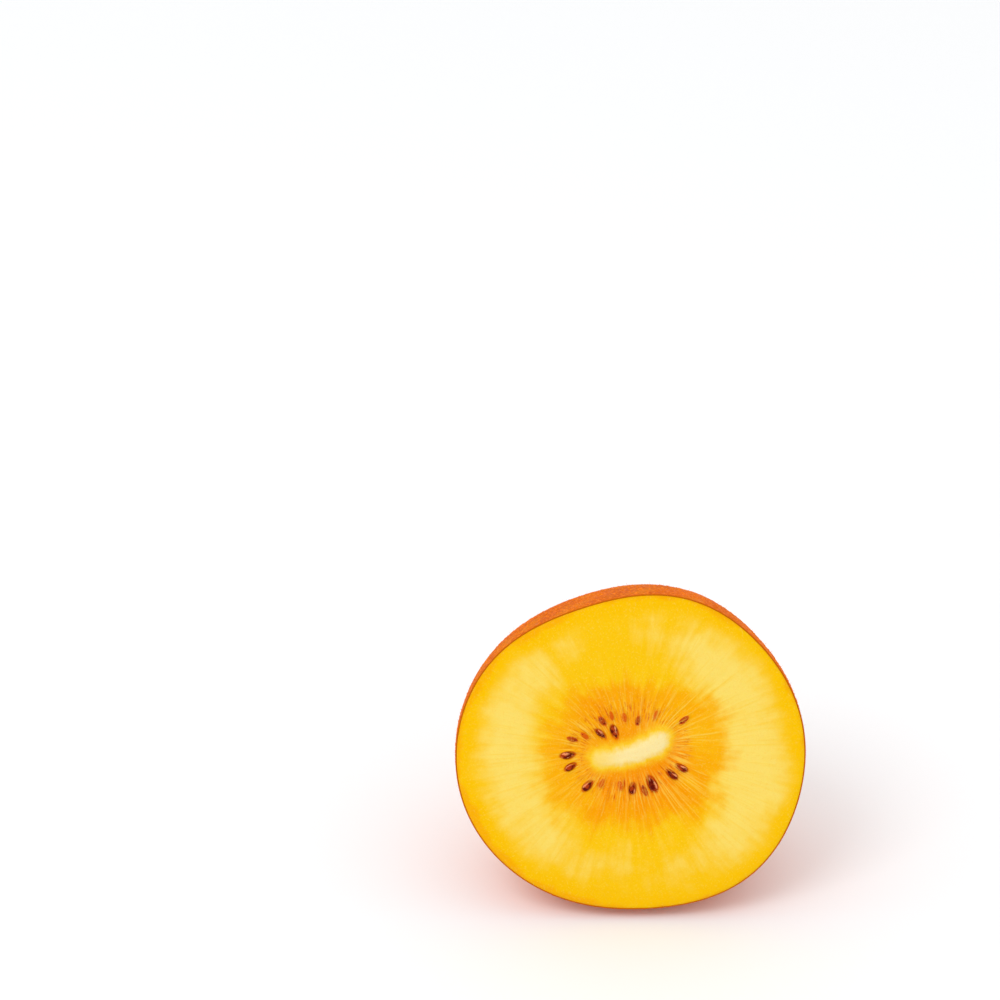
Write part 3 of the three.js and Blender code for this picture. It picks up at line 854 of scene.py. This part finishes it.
def build_skin(sizes, colours):
    """The thin skin as a closed shell: its inner side, its cut edge and its finely modelled outside."""
    thickness = sizes.skin_thickness / MM
    outer, outer_values = skin_surface()
    rim = rim_rings(thickness)
    lining = pressed(skin_rings(flank_shares(LINING_STEPS), SKIN_COLUMNS))
    lining = (lining - grid_normals(lining) * thickness)[::-1]
    rings = np.concatenate([lining, rim, outer])
    points, faces = closed(rings, (*AXIS_DRIFT, STEM_END_INSIDE), outer[-1].mean(0))
    before = len(lining) * SKIN_COLUMNS
    hidden = np.zeros(before + len(rim) * SKIN_COLUMNS)
    values = {}
    for key, field in outer_values.items():
        values[key] = np.concatenate([hidden, field.ravel(), [0, field[-1, 0]]])
    # The rim's last two rings already lie on the outside.
    values["cut_edge"] = np.zeros(len(points))
    values["cut_edge"][before : before + (len(rim) - 2) * SKIN_COLUMNS] = 1
    new_piece("kiwi_skin", points, faces, skin_material(colours), values)


def scattered(count, seed, keep):
    """Random spots on the skin, even by area and sifted by keep: places, outward directions and the draw."""
    draw = np.random.default_rng(seed)
    stem = np.linspace(*SOWN_STEM_RADII, SOWN_STEM_RINGS) / FACE_RADIUS
    shares = np.concatenate([flank_shares(SOWN_STEPS), stem])
    grid = pressed(skin_rings(shares, SOWN_COLUMNS))
    step_round = np.linalg.norm(np.roll(grid, -1, 1) - grid, axis=-1)[:-1]
    step_down = np.linalg.norm(np.diff(grid, axis=0), axis=-1)
    area = (step_round * step_down).ravel()
    chosen = draw.choice(area.size, count, p=area / area.sum())
    row, column = np.divmod(chosen, SOWN_COLUMNS)
    down, on = draw.random(count)[:, None], draw.random(count)[:, None]
    following = (column + 1) % SOWN_COLUMNS
    upper = grid[row, column] * (1 - on) + grid[row, following] * on
    lower = grid[row + 1, column] * (1 - on) + grid[row + 1, following] * on
    places = upper * (1 - down) + lower * down
    radius = FACE_RADIUS * (shares[row] * (1 - down[:, 0]) + shares[row + 1] * down[:, 0])
    kept = keep(places, radius, draw)
    return places[kept], grid_normals(grid)[row, column][kept], draw


def in_the_open(places, clearance, depth):
    """Which places lie this clear of the ground and this far behind the cut."""
    return (places @ UP > GROUND + clearance) & (places[:, 2] < -depth)


def upright_frames(normals, draw, lean=0.0):
    """Frames whose Z is the surface's outward direction, leant at random, with X turned at random."""
    axis = normals + lean * draw.normal(size=normals.shape)
    axis /= np.linalg.norm(axis, axis=1, keepdims=True)
    side = np.cross(axis, draw.normal(size=normals.shape))
    side /= np.linalg.norm(side, axis=1, keepdims=True)
    return np.stack([side, np.cross(axis, side), axis], 1)


def standing(rings, tip):
    """A small shape that stands on its first ring, which is closed by one face."""
    points, faces = closed(np.array(rings), tip)
    return points, [*flipped(faces), tuple(reversed(range(len(rings[0]))))]


def sow(name, shape, places, frames, draw, material):
    """A piece of many copies of a small shape, each with a shade of its own for its material to read."""
    points, faces = repeated(shape, places, frames)
    shades = np.repeat(draw.random(len(places)), len(shape[0]))
    new_piece(name, points, faces, material, {"shade": shades})


def dome_shape():
    """A low dome of radius and height 1, with a skirt that sinks into the skin."""
    turn = around(DOME_SIDES)
    circle = points_at(np.cos(turn), np.sin(turn), 0)
    return standing([circle * radius + (0, 0, height) for radius, height in DOME_RINGS], (0, 0, 1))


def build_lenticels(sizes, colours):
    """The fine raised breathing spots that stipple the skin, as low domes."""

    def keep(places, radius, draw):
        return in_the_open(places, *LENTICELS_KEEP_OFF) & (radius > CORK_RADIUS)

    places, normals, draw = scattered(sizes.lenticel_count, 21, keep)
    frames = upright_frames(normals, draw)
    size = draw.uniform(*LENTICEL_SIZES, len(places)) * sizes.lenticel_radius / MM
    frames[:, 0] *= (size * draw.uniform(*LENTICEL_STRETCHES, len(places)))[:, None]
    frames[:, 1] *= size[:, None]
    frames[:, 2] *= DOME_HEIGHT
    sow("kiwi_lenticels", dome_shape(), places, frames, draw, lenticel_material(colours))


def hair_shape():
    """A tapered hair of length 1 that bends toward X."""
    turn = around(HAIR_SIDES)
    rings = []
    for height, bend in HAIR_BENDS:
        thick = (1 - HAIR_TAPER * height) * HAIR_THICKNESS
        rings.append(points_at(thick * np.cos(turn) + bend, thick * np.sin(turn), height))
    return standing(rings, HAIR_TIP)


def build_fuzz(sizes, colours):
    """The few short pale hairs that a golden kiwi keeps, most of them round its stem end."""

    def keep(places, radius, draw):
        near_stem = HAIRS_FAR_OFF + (1 - HAIRS_FAR_OFF) * hump(radius, CORK_RADIUS, HAIRS_SPREAD)
        wanted = draw.random(len(places)) < near_stem
        return wanted & in_the_open(places, *HAIRS_KEEP_OFF) & (radius > SCAR_RADIUS)

    places, normals, draw = scattered(sizes.hair_count, 34, keep)
    frames = upright_frames(normals, draw, HAIR_LEAN)
    frames *= (draw.uniform(*HAIR_LENGTHS, len(places)) * sizes.hair_length / MM)[:, None, None]
    roots = places - normals * HAIR_ROOT
    sow("kiwi_fuzz", hair_shape(), roots, frames, draw, fuzz_material(colours))


# ---- Materials ----

RGBA = {"data_type": "RGBA"}
SMOOTH = {"interpolation_type": "SMOOTHSTEP"}
MULTIPLY = {"operation": "MULTIPLY"}
MULTIPLY_ADD = {"operation": "MULTIPLY_ADD"}


def add(tree, kind, settings=None, inputs=None):
    """Adds a node with its settings and fills its live sockets, in their order or by name, with values or
    with links, from a given output or from another node's first live one."""
    node = tree.nodes.new(kind)
    for name, value in (settings or {}).items():
        setattr(node, name, value)
    live = [socket for socket in node.inputs if socket.enabled]
    if isinstance(inputs, dict):
        named = {socket.name: socket for socket in reversed(live)}
        filled = [(named[name], value) for name, value in inputs.items()]
    else:
        filled = list(zip(live, inputs or []))
    for socket, value in filled:
        if isinstance(value, bpy.types.Node):
            value = next(output for output in value.outputs if output.enabled)
        if isinstance(value, bpy.types.NodeSocket):
            tree.links.new(value, socket)
        else:
            socket.default_value = value
    return node


def new_material(name, *fields):
    """An empty node material: its tree, the object's own coordinates, and fields of the mesh by name."""
    material = bpy.data.materials.new(name)
    material.use_nodes = True
    tree = material.node_tree
    tree.nodes.clear()
    read = {}
    for field in fields:
        read[field] = add(tree, "ShaderNodeAttribute", {"attribute_name": field}).outputs["Fac"]
    return material, tree, add(tree, "ShaderNodeTexCoord").outputs["Object"], read


def finished(material, tree, sockets):
    """Ends a material on a shader with these sockets."""
    shader = add(tree, "ShaderNodeBsdfPrincipled", {}, sockets)
    add(tree, "ShaderNodeOutputMaterial", {}, {"Surface": shader})
    return material


def layered(tree, base, layers):
    """Lays colours over a base. A layer is its greatest share, its colour, and the spans that it needs: each
    a driver with the values at which the layer starts and is full."""
    for share, tint, *spans in layers:
        for driver, start, full in spans:
            span = add(tree, "ShaderNodeMapRange", SMOOTH, [driver, start, full])
            share = add(tree, "ShaderNodeMath", MULTIPLY, [share, span])
        base = add(tree, "ShaderNodeMix", RGBA, [share, base, tint])
    return base


def flesh_material(colours):
    """Freshly cut kiwi flesh: watery cells under a film of juice. It gives the eye a bright body colour
    that glows from inside, amber round the seeds, clouded cream further out, golden under the skin."""
    fields = ("pale", "rim_gap", "zone", "deep", "ring", "rusty", "stain", "fibre", "core_gap", "faded")
    material, tree, place, tissue = new_material("cut_kiwi_flesh", *fields)

    # Noise drawn out along the fan's rays, by how many bumps go to a radian round it and to a level outward.
    # At the ring of seeds each of these is about 7 mm, so the streaks are 1.3, 0.5, 0.17 and 0.2 mm wide.
    fan = add(tree, "ShaderNodeAttribute", {"attribute_name": "fan"}).outputs["Vector"]
    rays = []
    for sideways, outward in ((5.5, 1.2), (15.0, 1.6), (42.0, 2.2), (34.0, 7.0)):
        drawn_out = add(tree, "ShaderNodeVectorMath", MULTIPLY, [fan, (sideways, sideways, outward)])
        rays.append(add(tree, "ShaderNodeTexNoise", {}, {"Vector": drawn_out, "Scale": 1.0}))
    broad, fine, threads, dashes = rays

    # Even noise, by the size of its bumps in millimetres, from clouds of cells down to the film of juice.
    even = []
    for size in (5.0, 2.6, 1.1, 0.45, 0.25):
        even.append(add(tree, "ShaderNodeTexNoise", {}, {"Vector": place, "Scale": 1 / (size * MM)}))
    clouds, clumps, cells, film, juice = even

    # The tissues' borders waver: by which noise, and how far in the border's own measure.
    wavers = [
        ("pale", fine, 0.7),
        ("pale", clumps, 0.7),
        ("rim_gap", clouds, 3.5),
        ("zone", broad, 0.34),
        ("zone", fine, 0.26),
        ("zone", clumps, 0.34),
        ("deep", clouds, 1.4),
        ("deep", broad, 0.8),
        ("core_gap", cells, 1.4),
        ("core_gap", threads, 0.7),
    ]
    for name, source, reach in wavers:
        swing = add(tree, "ShaderNodeMath", MULTIPLY_ADD, [source, reach, -reach / 2])
        tissue[name] = add(tree, "ShaderNodeMath", {"operation": "ADD"}, [tissue[name], swing])

    pale, rim_gap, zone, deep, ring, rusty, stain, fibre, core_gap, faded = tissue.values()
    layers = [
        # The outer flesh, with its clouds and its rim.
        (1.0, colours.cream, (pale, 0.05, 0.95)),
        (0.28, colours.golden, (threads, 0.5, 0.7), (rim_gap, 3.0, 6.0)),
        (1.0, colours.under_skin, (rim_gap, 3.9, 1.0)),
        (0.55, colours.rim_line, (rim_gap, 1.1, 0.1)),
        # The seed zone.
        (1.0, colours.amber, (zone, 0.15, -0.16)),
        (0.85, colours.deep_amber, (deep, 0.25, 0.9), (zone, 0.05, -0.3)),
        (0.6, colours.light_amber, (deep, 0.1, -0.2), (zone, 0.05, -0.3)),
        (0.5, colours.light_amber, (fine, 0.5, 0.7), (zone, -0.1, -0.3)),
        (0.6, colours.deep_amber, (zone, -0.4, -0.75)),
        (0.28, colours.rust, (rusty, 0.0, 0.9)),
        # Its threads, stains and fibres.
        (0.55, colours.fibre, (threads, 0.53, 0.66), (zone, 0.25, -0.55), (zone, -1.1, -0.6)),
        (0.5, colours.stain, (dashes, 0.54, 0.66), (ring, 0.1, 0.8)),
        (1.0, colours.stain, (stain, 0.0, 1.0)),
        (0.8, colours.buried_seed, (stain, 0.8, 1.6)),
        (0.8, colours.fibre, (fibre, 0.0, 0.8), (zone, -1.15, -0.5)),
        # The core.
        (0.9, colours.core_glow, (core_gap, 1.6, -0.2)),
        (1.0, colours.core, (core_gap, 0.32, -0.95)),
        (0.55, colours.core_glow, (faded, 0.0, 1.0), (core_gap, 0.5, -0.3)),
        # Brighter and darker cells everywhere; the brightest specks are painted glints on the wet cut.
        (0.22, colours.speck_and_glint, (juice, 0.54, 0.72)),
        (0.15, colours.amber, (juice, 0.44, 0.3)),
    ]
    base = layered(tree, colours.golden, layers)

    relief = add(tree, "ShaderNodeMath", MULTIPLY_ADD, [cells, 1.2, film])
    relief = add(tree, "ShaderNodeMath", MULTIPLY_ADD, [threads, 0.8, relief])
    sockets = {
        "Base Color": base,
        "Roughness": add(tree, "ShaderNodeMapRange", SMOOTH, [film, 0.3, 0.7, 0.26, 0.44]),
        "IOR": 1.36,  # watery cell sap
        "Specular IOR Level": 0.25,
        "Specular Tint": colours.golden,
        "Subsurface Weight": 0.14,
        "Subsurface Radius": (1.0, 0.6, 0.12),
        "Subsurface Scale": 0.8 * MM,
        "Coat Weight": 0.06,
        "Coat Roughness": 0.1,
        "Coat IOR": 1.34,  # juice
        "Normal": add(tree, "ShaderNodeBump", {}, {"Strength": 0.5, "Distance": 0.12 * MM, "Height": relief}),
    }
    return finished(material, tree, sockets)


def skin_material(colours):
    """Golden kiwi skin: a thin leathery peel with fine dry grain, rubbed almost hairless. It gives the eye
    a warm, dull brown orange with a fine bright stipple. Cork round the stem's scar is redder."""
    fields = ("painted_highlight", "bruise", "cork", "lip", "scar", "cut_edge")
    material, tree, place, read = new_material("golden_kiwi_peel", *fields)
    painted_highlight, bruise, cork, lip, scar, cut_edge = read.values()

    # Noise by the size of its bumps in millimetres.
    even = []
    for size in (14.0, 4.5, 1.1, 0.45, 0.24):
        even.append(add(tree, "ShaderNodeTexNoise", {}, {"Vector": place, "Scale": 1 / (size * MM)}))
    patches, blotches, clumps, fleck, grit = even
    # Pores about 0.6 mm apart.
    pores = add(tree, "ShaderNodeTexVoronoi", {}, {"Vector": place, "Scale": 1 / (0.6 * MM)})

    layers = [
        # The peel, with its blotches, grain and pores.
        (1.0, colours.peel_deep, (patches, 0.4, 0.62)),
        (0.7, colours.peel_golden, (blotches, 0.5, 0.34)),
        (0.45, colours.peel_rosy, (blotches, 0.52, 0.7)),
        (0.4, colours.peel_dark, (fleck, 0.5, 0.36)),
        (0.5, colours.peel_light, (fleck, 0.53, 0.66)),
        (0.4, colours.peel_light, (grit, 0.56, 0.68)),
        (0.7, colours.pore, (pores, 0.46, 0.2), (clumps, 0.28, 0.55)),
        # The patch of painted highlight, with corky spots in it.
        (0.6, colours.painted_highlight, (painted_highlight, 0.1, 0.9), (fleck, 0.34, 0.58)),
        (0.7, colours.cork, (painted_highlight, 0.2, 0.7), (clumps, 0.6, 0.7)),
        # The bruised ring round the cork.
        (0.5, colours.peel_bruised, (bruise, 0.0, 1.0), (blotches, 0.46, 0.6), (fleck, 0.62, 0.4)),
        (0.5, colours.peel_light, (bruise, 0.0, 1.0), (blotches, 0.5, 0.36), (fleck, 0.4, 0.6)),
        (0.6, colours.cork, (bruise, 0.1, 0.9), (clumps, 0.58, 0.66)),
        # The cork, the stem's scar in it, and the cut edge.
        (1.0, colours.cork, (cork, 0.1, 0.8)),
        (0.8, colours.cork_dark, (cork, 0.3, 1.0), (fleck, 0.52, 0.38)),
        (0.8, colours.cork_light, (cork, 0.3, 1.0), (fleck, 0.5, 0.62), (clumps, 0.4, 0.6)),
        (0.7, colours.cork_light, (lip, 0.1, 0.9), (grit, 0.44, 0.6)),
        (1.0, colours.scar, (scar, 0.1, 0.8)),
        (0.8, colours.cork_dark, (scar, 0.3, 1.0), (fleck, 0.48, 0.6)),
        (0.6, colours.peel_light, (scar, 0.3, 1.0), (grit, 0.56, 0.7)),
        (1.0, colours.cut_edge, (cut_edge, 0.3, 0.7)),
    ]
    base = layered(tree, colours.peel, layers)

    relief = add(tree, "ShaderNodeMath", MULTIPLY_ADD, [fleck, 1.4, grit])
    sockets = {
        "Base Color": base,
        "Roughness": add(tree, "ShaderNodeMapRange", SMOOTH, [grit, 0.3, 0.7, 0.6, 0.8]),
        "IOR": 1.45,  # waxy cuticle
        "Specular IOR Level": 0.05,
        "Specular Tint": colours.peel_light,
        "Sheen Weight": 0.03,
        "Sheen Roughness": 0.4,
        "Sheen Tint": colours.peel_bloom,
        "Normal": add(tree, "ShaderNodeBump", {}, {"Strength": 0.6, "Distance": 0.14 * MM, "Height": relief}),
    }
    return finished(material, tree, sockets)


def seed_material(colours):
    """Kiwi seeds: hard, slick seed coats, wet with juice. They give the eye dark red brown drops with a small
    glint and flecks of clinging pulp, and rusty shadows where a film of flesh covers them. Pale pulp coloured
    streaks, most of all on the flanks that face up and right, are painted glints."""
    material, tree, place, read = new_material("wet_seed_coat", "veil", "flank")
    coat = add(tree, "ShaderNodeAttribute", {"attribute_name": "coat"}).outputs["Vector"]
    # Pulp and painted glints lie in streaks 1.1 mm long and 0.3 mm wide. The coat's tone shifts every 0.9 mm,
    # and
    #     its pits are 0.12 mm apart.
    drawn_out = add(tree, "ShaderNodeVectorMath", MULTIPLY, [coat, (0.9, 3.2, 2.2)])
    streaks = add(tree, "ShaderNodeTexNoise", {}, {"Vector": drawn_out, "Scale": 1.0})
    tone = add(tree, "ShaderNodeTexNoise", {}, {"Vector": place, "Scale": 1 / (0.9 * MM)})
    pits = add(tree, "ShaderNodeTexVoronoi", {}, {"Vector": place, "Scale": 1 / (0.12 * MM)})
    layers = [
        (1.0, colours.seed_light, (tone, 0.46, 0.62)),
        # Painted glints: pale pulp coloured streaks, most of all on the flanks that face up and right.
        (0.5, colours.pulp, (streaks, 0.58, 0.68)),
        (0.8, colours.pulp, (read["flank"], 0.18, 0.32), (streaks, 0.42, 0.54)),
        (1.0, colours.buried_seed, (read["veil"], 0.0, 1.0)),
    ]
    sockets = {
        "Base Color": layered(tree, colours.seed, layers),
        "Roughness": 0.25,
        "IOR": 1.5,  # hard seed coat
        "Specular IOR Level": 0.12,
        "Specular Tint": colours.seed_light,
        "Coat Weight": 0.12,
        "Coat Roughness": 0.06,
        "Coat IOR": 1.34,  # juice
        "Normal": add(tree, "ShaderNodeBump", {}, {"Strength": 0.3, "Distance": 0.02 * MM, "Height": pits}),
    }
    return finished(material, tree, sockets)


def lenticel_material(colours):
    """Lenticels: tiny dry corky pores, lighter than the peel. They give the eye its fine bright stipple."""
    material, tree, place, read = new_material("corky_lenticels", "shade")
    grit = add(tree, "ShaderNodeTexNoise", {}, {"Vector": place, "Scale": 1 / (0.15 * MM)})
    layers = [
        (1.0, colours.lenticel, (read["shade"], 0.1, 1.0)),
        (0.4, colours.peel_light, (grit, 0.45, 0.6)),
    ]
    sockets = {
        "Base Color": layered(tree, colours.peel, layers),
        "Roughness": 0.75,
        "IOR": 1.45,
        "Specular IOR Level": 0.05,
        "Normal": add(tree, "ShaderNodeBump", {}, {"Strength": 0.4, "Distance": 0.03 * MM, "Height": grit}),
    }
    return finished(material, tree, sockets)


def fuzz_material(colours):
    """Kiwi fuzz: stiff dead hairs. They give the eye a faint pale bristle at the fruit's edges."""
    material, tree, place, read = new_material("dry_kiwi_fuzz", "shade")
    # Bands along the hair, 0.3 mm apart.
    bands = add(tree, "ShaderNodeTexNoise", {}, {"Vector": place, "Scale": 1 / (0.3 * MM)})
    layers = [
        (1.0, colours.fuzz, (read["shade"], 0.0, 1.0)),
        (0.3, colours.peel_dark, (bands, 0.5, 0.6)),
    ]
    sockets = {"Base Color": layered(tree, colours.peel_light, layers), "Roughness": 0.6, "IOR": 1.55}
    return finished(material, tree, sockets)


def floor_material(colours):
    """Matt white table board: it gives the eye nothing but a soft shadow."""
    material, tree, place, _ = new_material("matt_white_board")
    # Paper tooth, drawn coarser than real so that it isn't lost.
    tooth = add(tree, "ShaderNodeTexNoise", {}, {"Vector": place, "Scale": 1 / (2.0 * MM)})
    rough = add(tree, "ShaderNodeMapRange", SMOOTH, [tooth, 0.0, 1.0, 0.6, 0.7])
    sockets = {"Base Color": colours.board, "Roughness": rough, "Specular IOR Level": 0.2}
    return finished(material, tree, sockets)


# ---- The stage ----


def build_floor(colours):
    """A wide board just under the part's lowest point."""
    half = BOARD_WIDTH / 2
    corners = [(x, y, -BOARD_DROP) for x, y in ((-half, -half), (half, -half), (half, half), (-half, half))]
    mesh = bpy.data.meshes.new("board")
    mesh.from_pydata(corners, [], [(0, 1, 2, 3)])
    mesh.materials.append(floor_material(colours))
    new_object("board", mesh)


def build_light(power):
    """A soft square light that looks at the fruit."""
    lamp = bpy.data.lights.new("key", "AREA")
    lamp.size = LIGHT_WIDTH
    lamp.energy = power
    light = new_object("key", lamp)
    light.location = LIGHT_AT
    light.rotation_euler = (Vector(LIGHT_AIM) - Vector(LIGHT_AT)).to_track_quat("-Z", "Y").to_euler()


def build_camera():
    """A long lens that looks down on the half from the front, as from a chair at the table."""
    lens = bpy.data.cameras.new("camera")
    lens.lens = CAMERA_LENS
    lens.sensor_width = SENSOR_WIDTH
    lens.clip_start = CAMERA_NEAR * MM
    camera = new_object("camera", lens)
    camera.location = (ORIGIN + np.array(CAMERA_FROM_FACE)) * MM
    camera.rotation_euler = (CAMERA_PITCH, 0, 0)
    bpy.context.scene.camera = camera


def build_sky(strength):
    """An even white surround, as in a light tent."""
    scene = bpy.context.scene
    world = bpy.data.worlds.new("light_tent")
    world.use_nodes = True
    world.node_tree.nodes.clear()
    shine = add(world.node_tree, "ShaderNodeBackground", {}, {"Color": (1, 1, 1, 1), "Strength": strength})
    add(world.node_tree, "ShaderNodeOutputWorld", {}, {"Surface": shine})
    scene.world = world
    scene.view_settings.view_transform = "Standard"


# ---- What a user may change ----


def millimetres(name, description, default, low, high):
    """A length that a user may change, given in millimetres."""
    return bpy.props.FloatProperty(
        name=name,
        description=description,
        default=default * MM,
        min=low * MM,
        max=high * MM,
        precision=5,
        unit="LENGTH",
    )


def number(name, description, default, high):
    """A count that a user may change."""
    return bpy.props.IntProperty(name=name, description=description, default=default, min=0, max=high)


def colour(name, description, hex_colour):
    """A colour that a user may change, given as sRGB hex."""
    return bpy.props.FloatVectorProperty(
        name=name,
        description=description,
        default=linear(hex_colour),
        size=4,
        min=0,
        max=1,
        subtype="COLOR",
    )


class KiwiSizes(bpy.types.PropertyGroup):
    """Sizes and counts of the fruit's fine detail, and the strength of its lights."""

    skin_thickness: millimetres("Skin thickness", "Thickness of the peel at its cut edge", 0.22, 0.15, 0.6)
    fibre_count: number("Fibres", "Pale strands that fan out from the core", 118, 300)
    lenticel_count: number("Lenticels", "Raised breathing spots tried on the peel", 4600, 9000)
    lenticel_radius: millimetres("Lenticel radius", "Radius of the largest breathing spot", 0.2, 0.05, 0.5)
    hair_count: number("Hairs", "Short hairs tried on the peel", 5200, 12000)
    hair_length: millimetres("Hair length", "Length of the longest hair", 0.8, 0.1, 3)
    sky_strength: bpy.props.FloatProperty(
        name="Sky",
        description="Strength of the even white surround",
        default=0.97,
        min=0,
        max=3,
    )
    key_power: bpy.props.FloatProperty(
        name="Key light",
        description="Power of the soft light above on the left",
        default=3.0,
        min=0,
        max=200,
        unit="POWER",
    )


class KiwiColours(bpy.types.PropertyGroup):
    """Colours of the fruit's tissues and of the stage."""

    golden: colour("Golden flesh", "Outer flesh between its clouds", "#eebd0d")
    cream: colour("Clouded flesh", "Paler clouds of the outer flesh", "#eed265")
    under_skin: colour("Under the skin", "Saturated flesh next to the skin", "#eeb902")
    rim_line: colour("Rim line", "Last millimetre of flesh at the skin", "#ec9803")
    amber: colour("Seed zone", "Flesh round the seeds", "#eea605")
    deep_amber: colour("Deep seed zone", "Redder clouds of the seed zone", "#ed9200")
    light_amber: colour("Light seed zone", "Yellower rays of the seed zone", "#eeb411")
    rust: colour("Rusty seed zone", "Orange shade of the ring of seeds on its lower right", "#ee6602")
    fibre: colour("Fibres", "Pale strands along the rays", "#f0cc4f")
    stain: colour("Stained flesh", "Flesh round the seeds and over buried ones", "#cc4a06")
    # Painted glints as well as juicy cells: bright specks that stand for the wet cut's sparkle.
    speck_and_glint: colour("Specks", "Bright cells full of juice", "#f0d369")
    core_glow: colour("Core glow", "Soft yellow edge of the core", "#f0c829")
    core: colour("Core", "Firm pale middle", "#f0dc9c")
    buried_seed: colour("Buried seed", "Seed under a film of flesh", "#a03408")
    seed: colour("Seed", "Seed coat", "#5c0b02")
    seed_light: colour("Seed, lighter", "Worn parts of the seed coat", "#a5380c")
    # Also painted glints on the seeds' upper flanks.
    pulp: colour("Clinging pulp", "Flecks of flesh left on the seeds", "#f5a06a")
    peel: colour("Peel", "Most of the skin", "#e76b02")
    peel_deep: colour("Deep peel", "Browner patches of skin", "#d25d02")
    peel_golden: colour("Golden peel", "Yellower blotches", "#e07c06")
    peel_rosy: colour("Rosy peel", "Redder blotches", "#dc6012")
    peel_light: colour("Light grain", "Lighter grain of the skin", "#fb8d1d")
    peel_dark: colour("Dark grain", "Darker grain of the skin", "#c04a01")
    pore: colour("Pores", "Bright dots in the skin", "#ff861e")
    # A painted highlight: paler peel on the upper left near the stem end.
    painted_highlight: colour("Worn peel", "Patch that has been rubbed pale", "#f59834")
    peel_bruised: colour("Bruised peel", "Dull skin round the corky collar", "#b85f11")
    peel_bloom: colour("Bloom", "Sheen of the skin's fine down", "#ff9440")
    lenticel: colour("Lenticel", "Raised breathing spots", "#ff9129")
    fuzz: colour("Fuzz", "Short hairs", "#e89a50")
    cork: colour("Cork", "Corky collar at the stem end", "#f25604")
    cork_light: colour("Light cork", "Worn high spots of the collar", "#ff9123")
    cork_dark: colour("Dark cork", "Crevices of the collar", "#b03002")
    scar: colour("Stem scar", "Hole that the stem left", "#7a3010")
    cut_edge: colour("Cut skin", "Edge of the skin at the cut", "#c3610b")
    board: colour("Board", "Floor under the fruit", "#f6f7f8")


# ---- Operators ----


class KIWI_OT_flesh(bpy.types.Operator):
    """Build the cut flesh with its core, fibres and seed zone"""

    bl_idname = "kiwi.flesh"
    bl_label = "Cut flesh"

    def execute(self, context):
        build_flesh(context.scene.kiwi_sizes, context.scene.kiwi_colours)
        return {"FINISHED"}


class KIWI_OT_seeds(bpy.types.Operator):
    """Build the seeds that show on the cut"""

    bl_idname = "kiwi.seeds"
    bl_label = "Seeds"

    def execute(self, context):
        build_seeds(context.scene.kiwi_colours)
        return {"FINISHED"}


class KIWI_OT_skin(bpy.types.Operator):
    """Build the skin with its corky stem end"""

    bl_idname = "kiwi.skin"
    bl_label = "Skin"

    def execute(self, context):
        build_skin(context.scene.kiwi_sizes, context.scene.kiwi_colours)
        return {"FINISHED"}


class KIWI_OT_lenticels(bpy.types.Operator):
    """Stipple the skin with its raised breathing spots"""

    bl_idname = "kiwi.lenticels"
    bl_label = "Lenticels"

    def execute(self, context):
        build_lenticels(context.scene.kiwi_sizes, context.scene.kiwi_colours)
        return {"FINISHED"}


class KIWI_OT_fuzz(bpy.types.Operator):
    """Grow the few short hairs"""

    bl_idname = "kiwi.fuzz"
    bl_label = "Fuzz"

    def execute(self, context):
        build_fuzz(context.scene.kiwi_sizes, context.scene.kiwi_colours)
        return {"FINISHED"}


class KIWI_OT_stage(bpy.types.Operator):
    """Set up the board, the soft studio light and the camera"""

    bl_idname = "kiwi.stage"
    bl_label = "Stage"

    def execute(self, context):
        sizes = context.scene.kiwi_sizes
        build_floor(context.scene.kiwi_colours)
        build_light(sizes.key_power)
        build_sky(sizes.sky_strength)
        build_camera()
        return {"FINISHED"}


OPERATORS = (KIWI_OT_flesh, KIWI_OT_seeds, KIWI_OT_skin, KIWI_OT_lenticels, KIWI_OT_fuzz, KIWI_OT_stage)


class KIWI_PT_sidebar(bpy.types.Panel):
    """Lists the fruit's pieces, sizes and colours"""

    bl_idname = "KIWI_PT_sidebar"
    bl_label = "Golden kiwi half"
    bl_space_type = "VIEW_3D"
    bl_region_type = "UI"
    bl_category = "Kiwi"

    def draw(self, context):
        for operator in OPERATORS:
            self.layout.operator(operator.bl_idname)
        for group in (context.scene.kiwi_sizes, context.scene.kiwi_colours):
            for name in group.bl_rna.properties.keys():
                if name not in ("rna_type", "name"):
                    self.layout.prop(group, name)


CLASSES = (KiwiSizes, KiwiColours, *OPERATORS, KIWI_PT_sidebar)


def register():
    for each in CLASSES:
        bpy.utils.register_class(each)
    bpy.types.Scene.kiwi_sizes = bpy.props.PointerProperty(type=KiwiSizes)
    bpy.types.Scene.kiwi_colours = bpy.props.PointerProperty(type=KiwiColours)


def unregister():
    del bpy.types.Scene.kiwi_colours
    del bpy.types.Scene.kiwi_sizes
    for each in reversed(CLASSES):
        bpy.utils.unregister_class(each)


def main():
    """Builds the stage and every piece."""
    register()
    bpy.ops.kiwi.stage()
    bpy.ops.kiwi.flesh()
    bpy.ops.kiwi.seeds()
    bpy.ops.kiwi.skin()
    bpy.ops.kiwi.lenticels()
    bpy.ops.kiwi.fuzz()


if __name__ == "__main__":
    main()
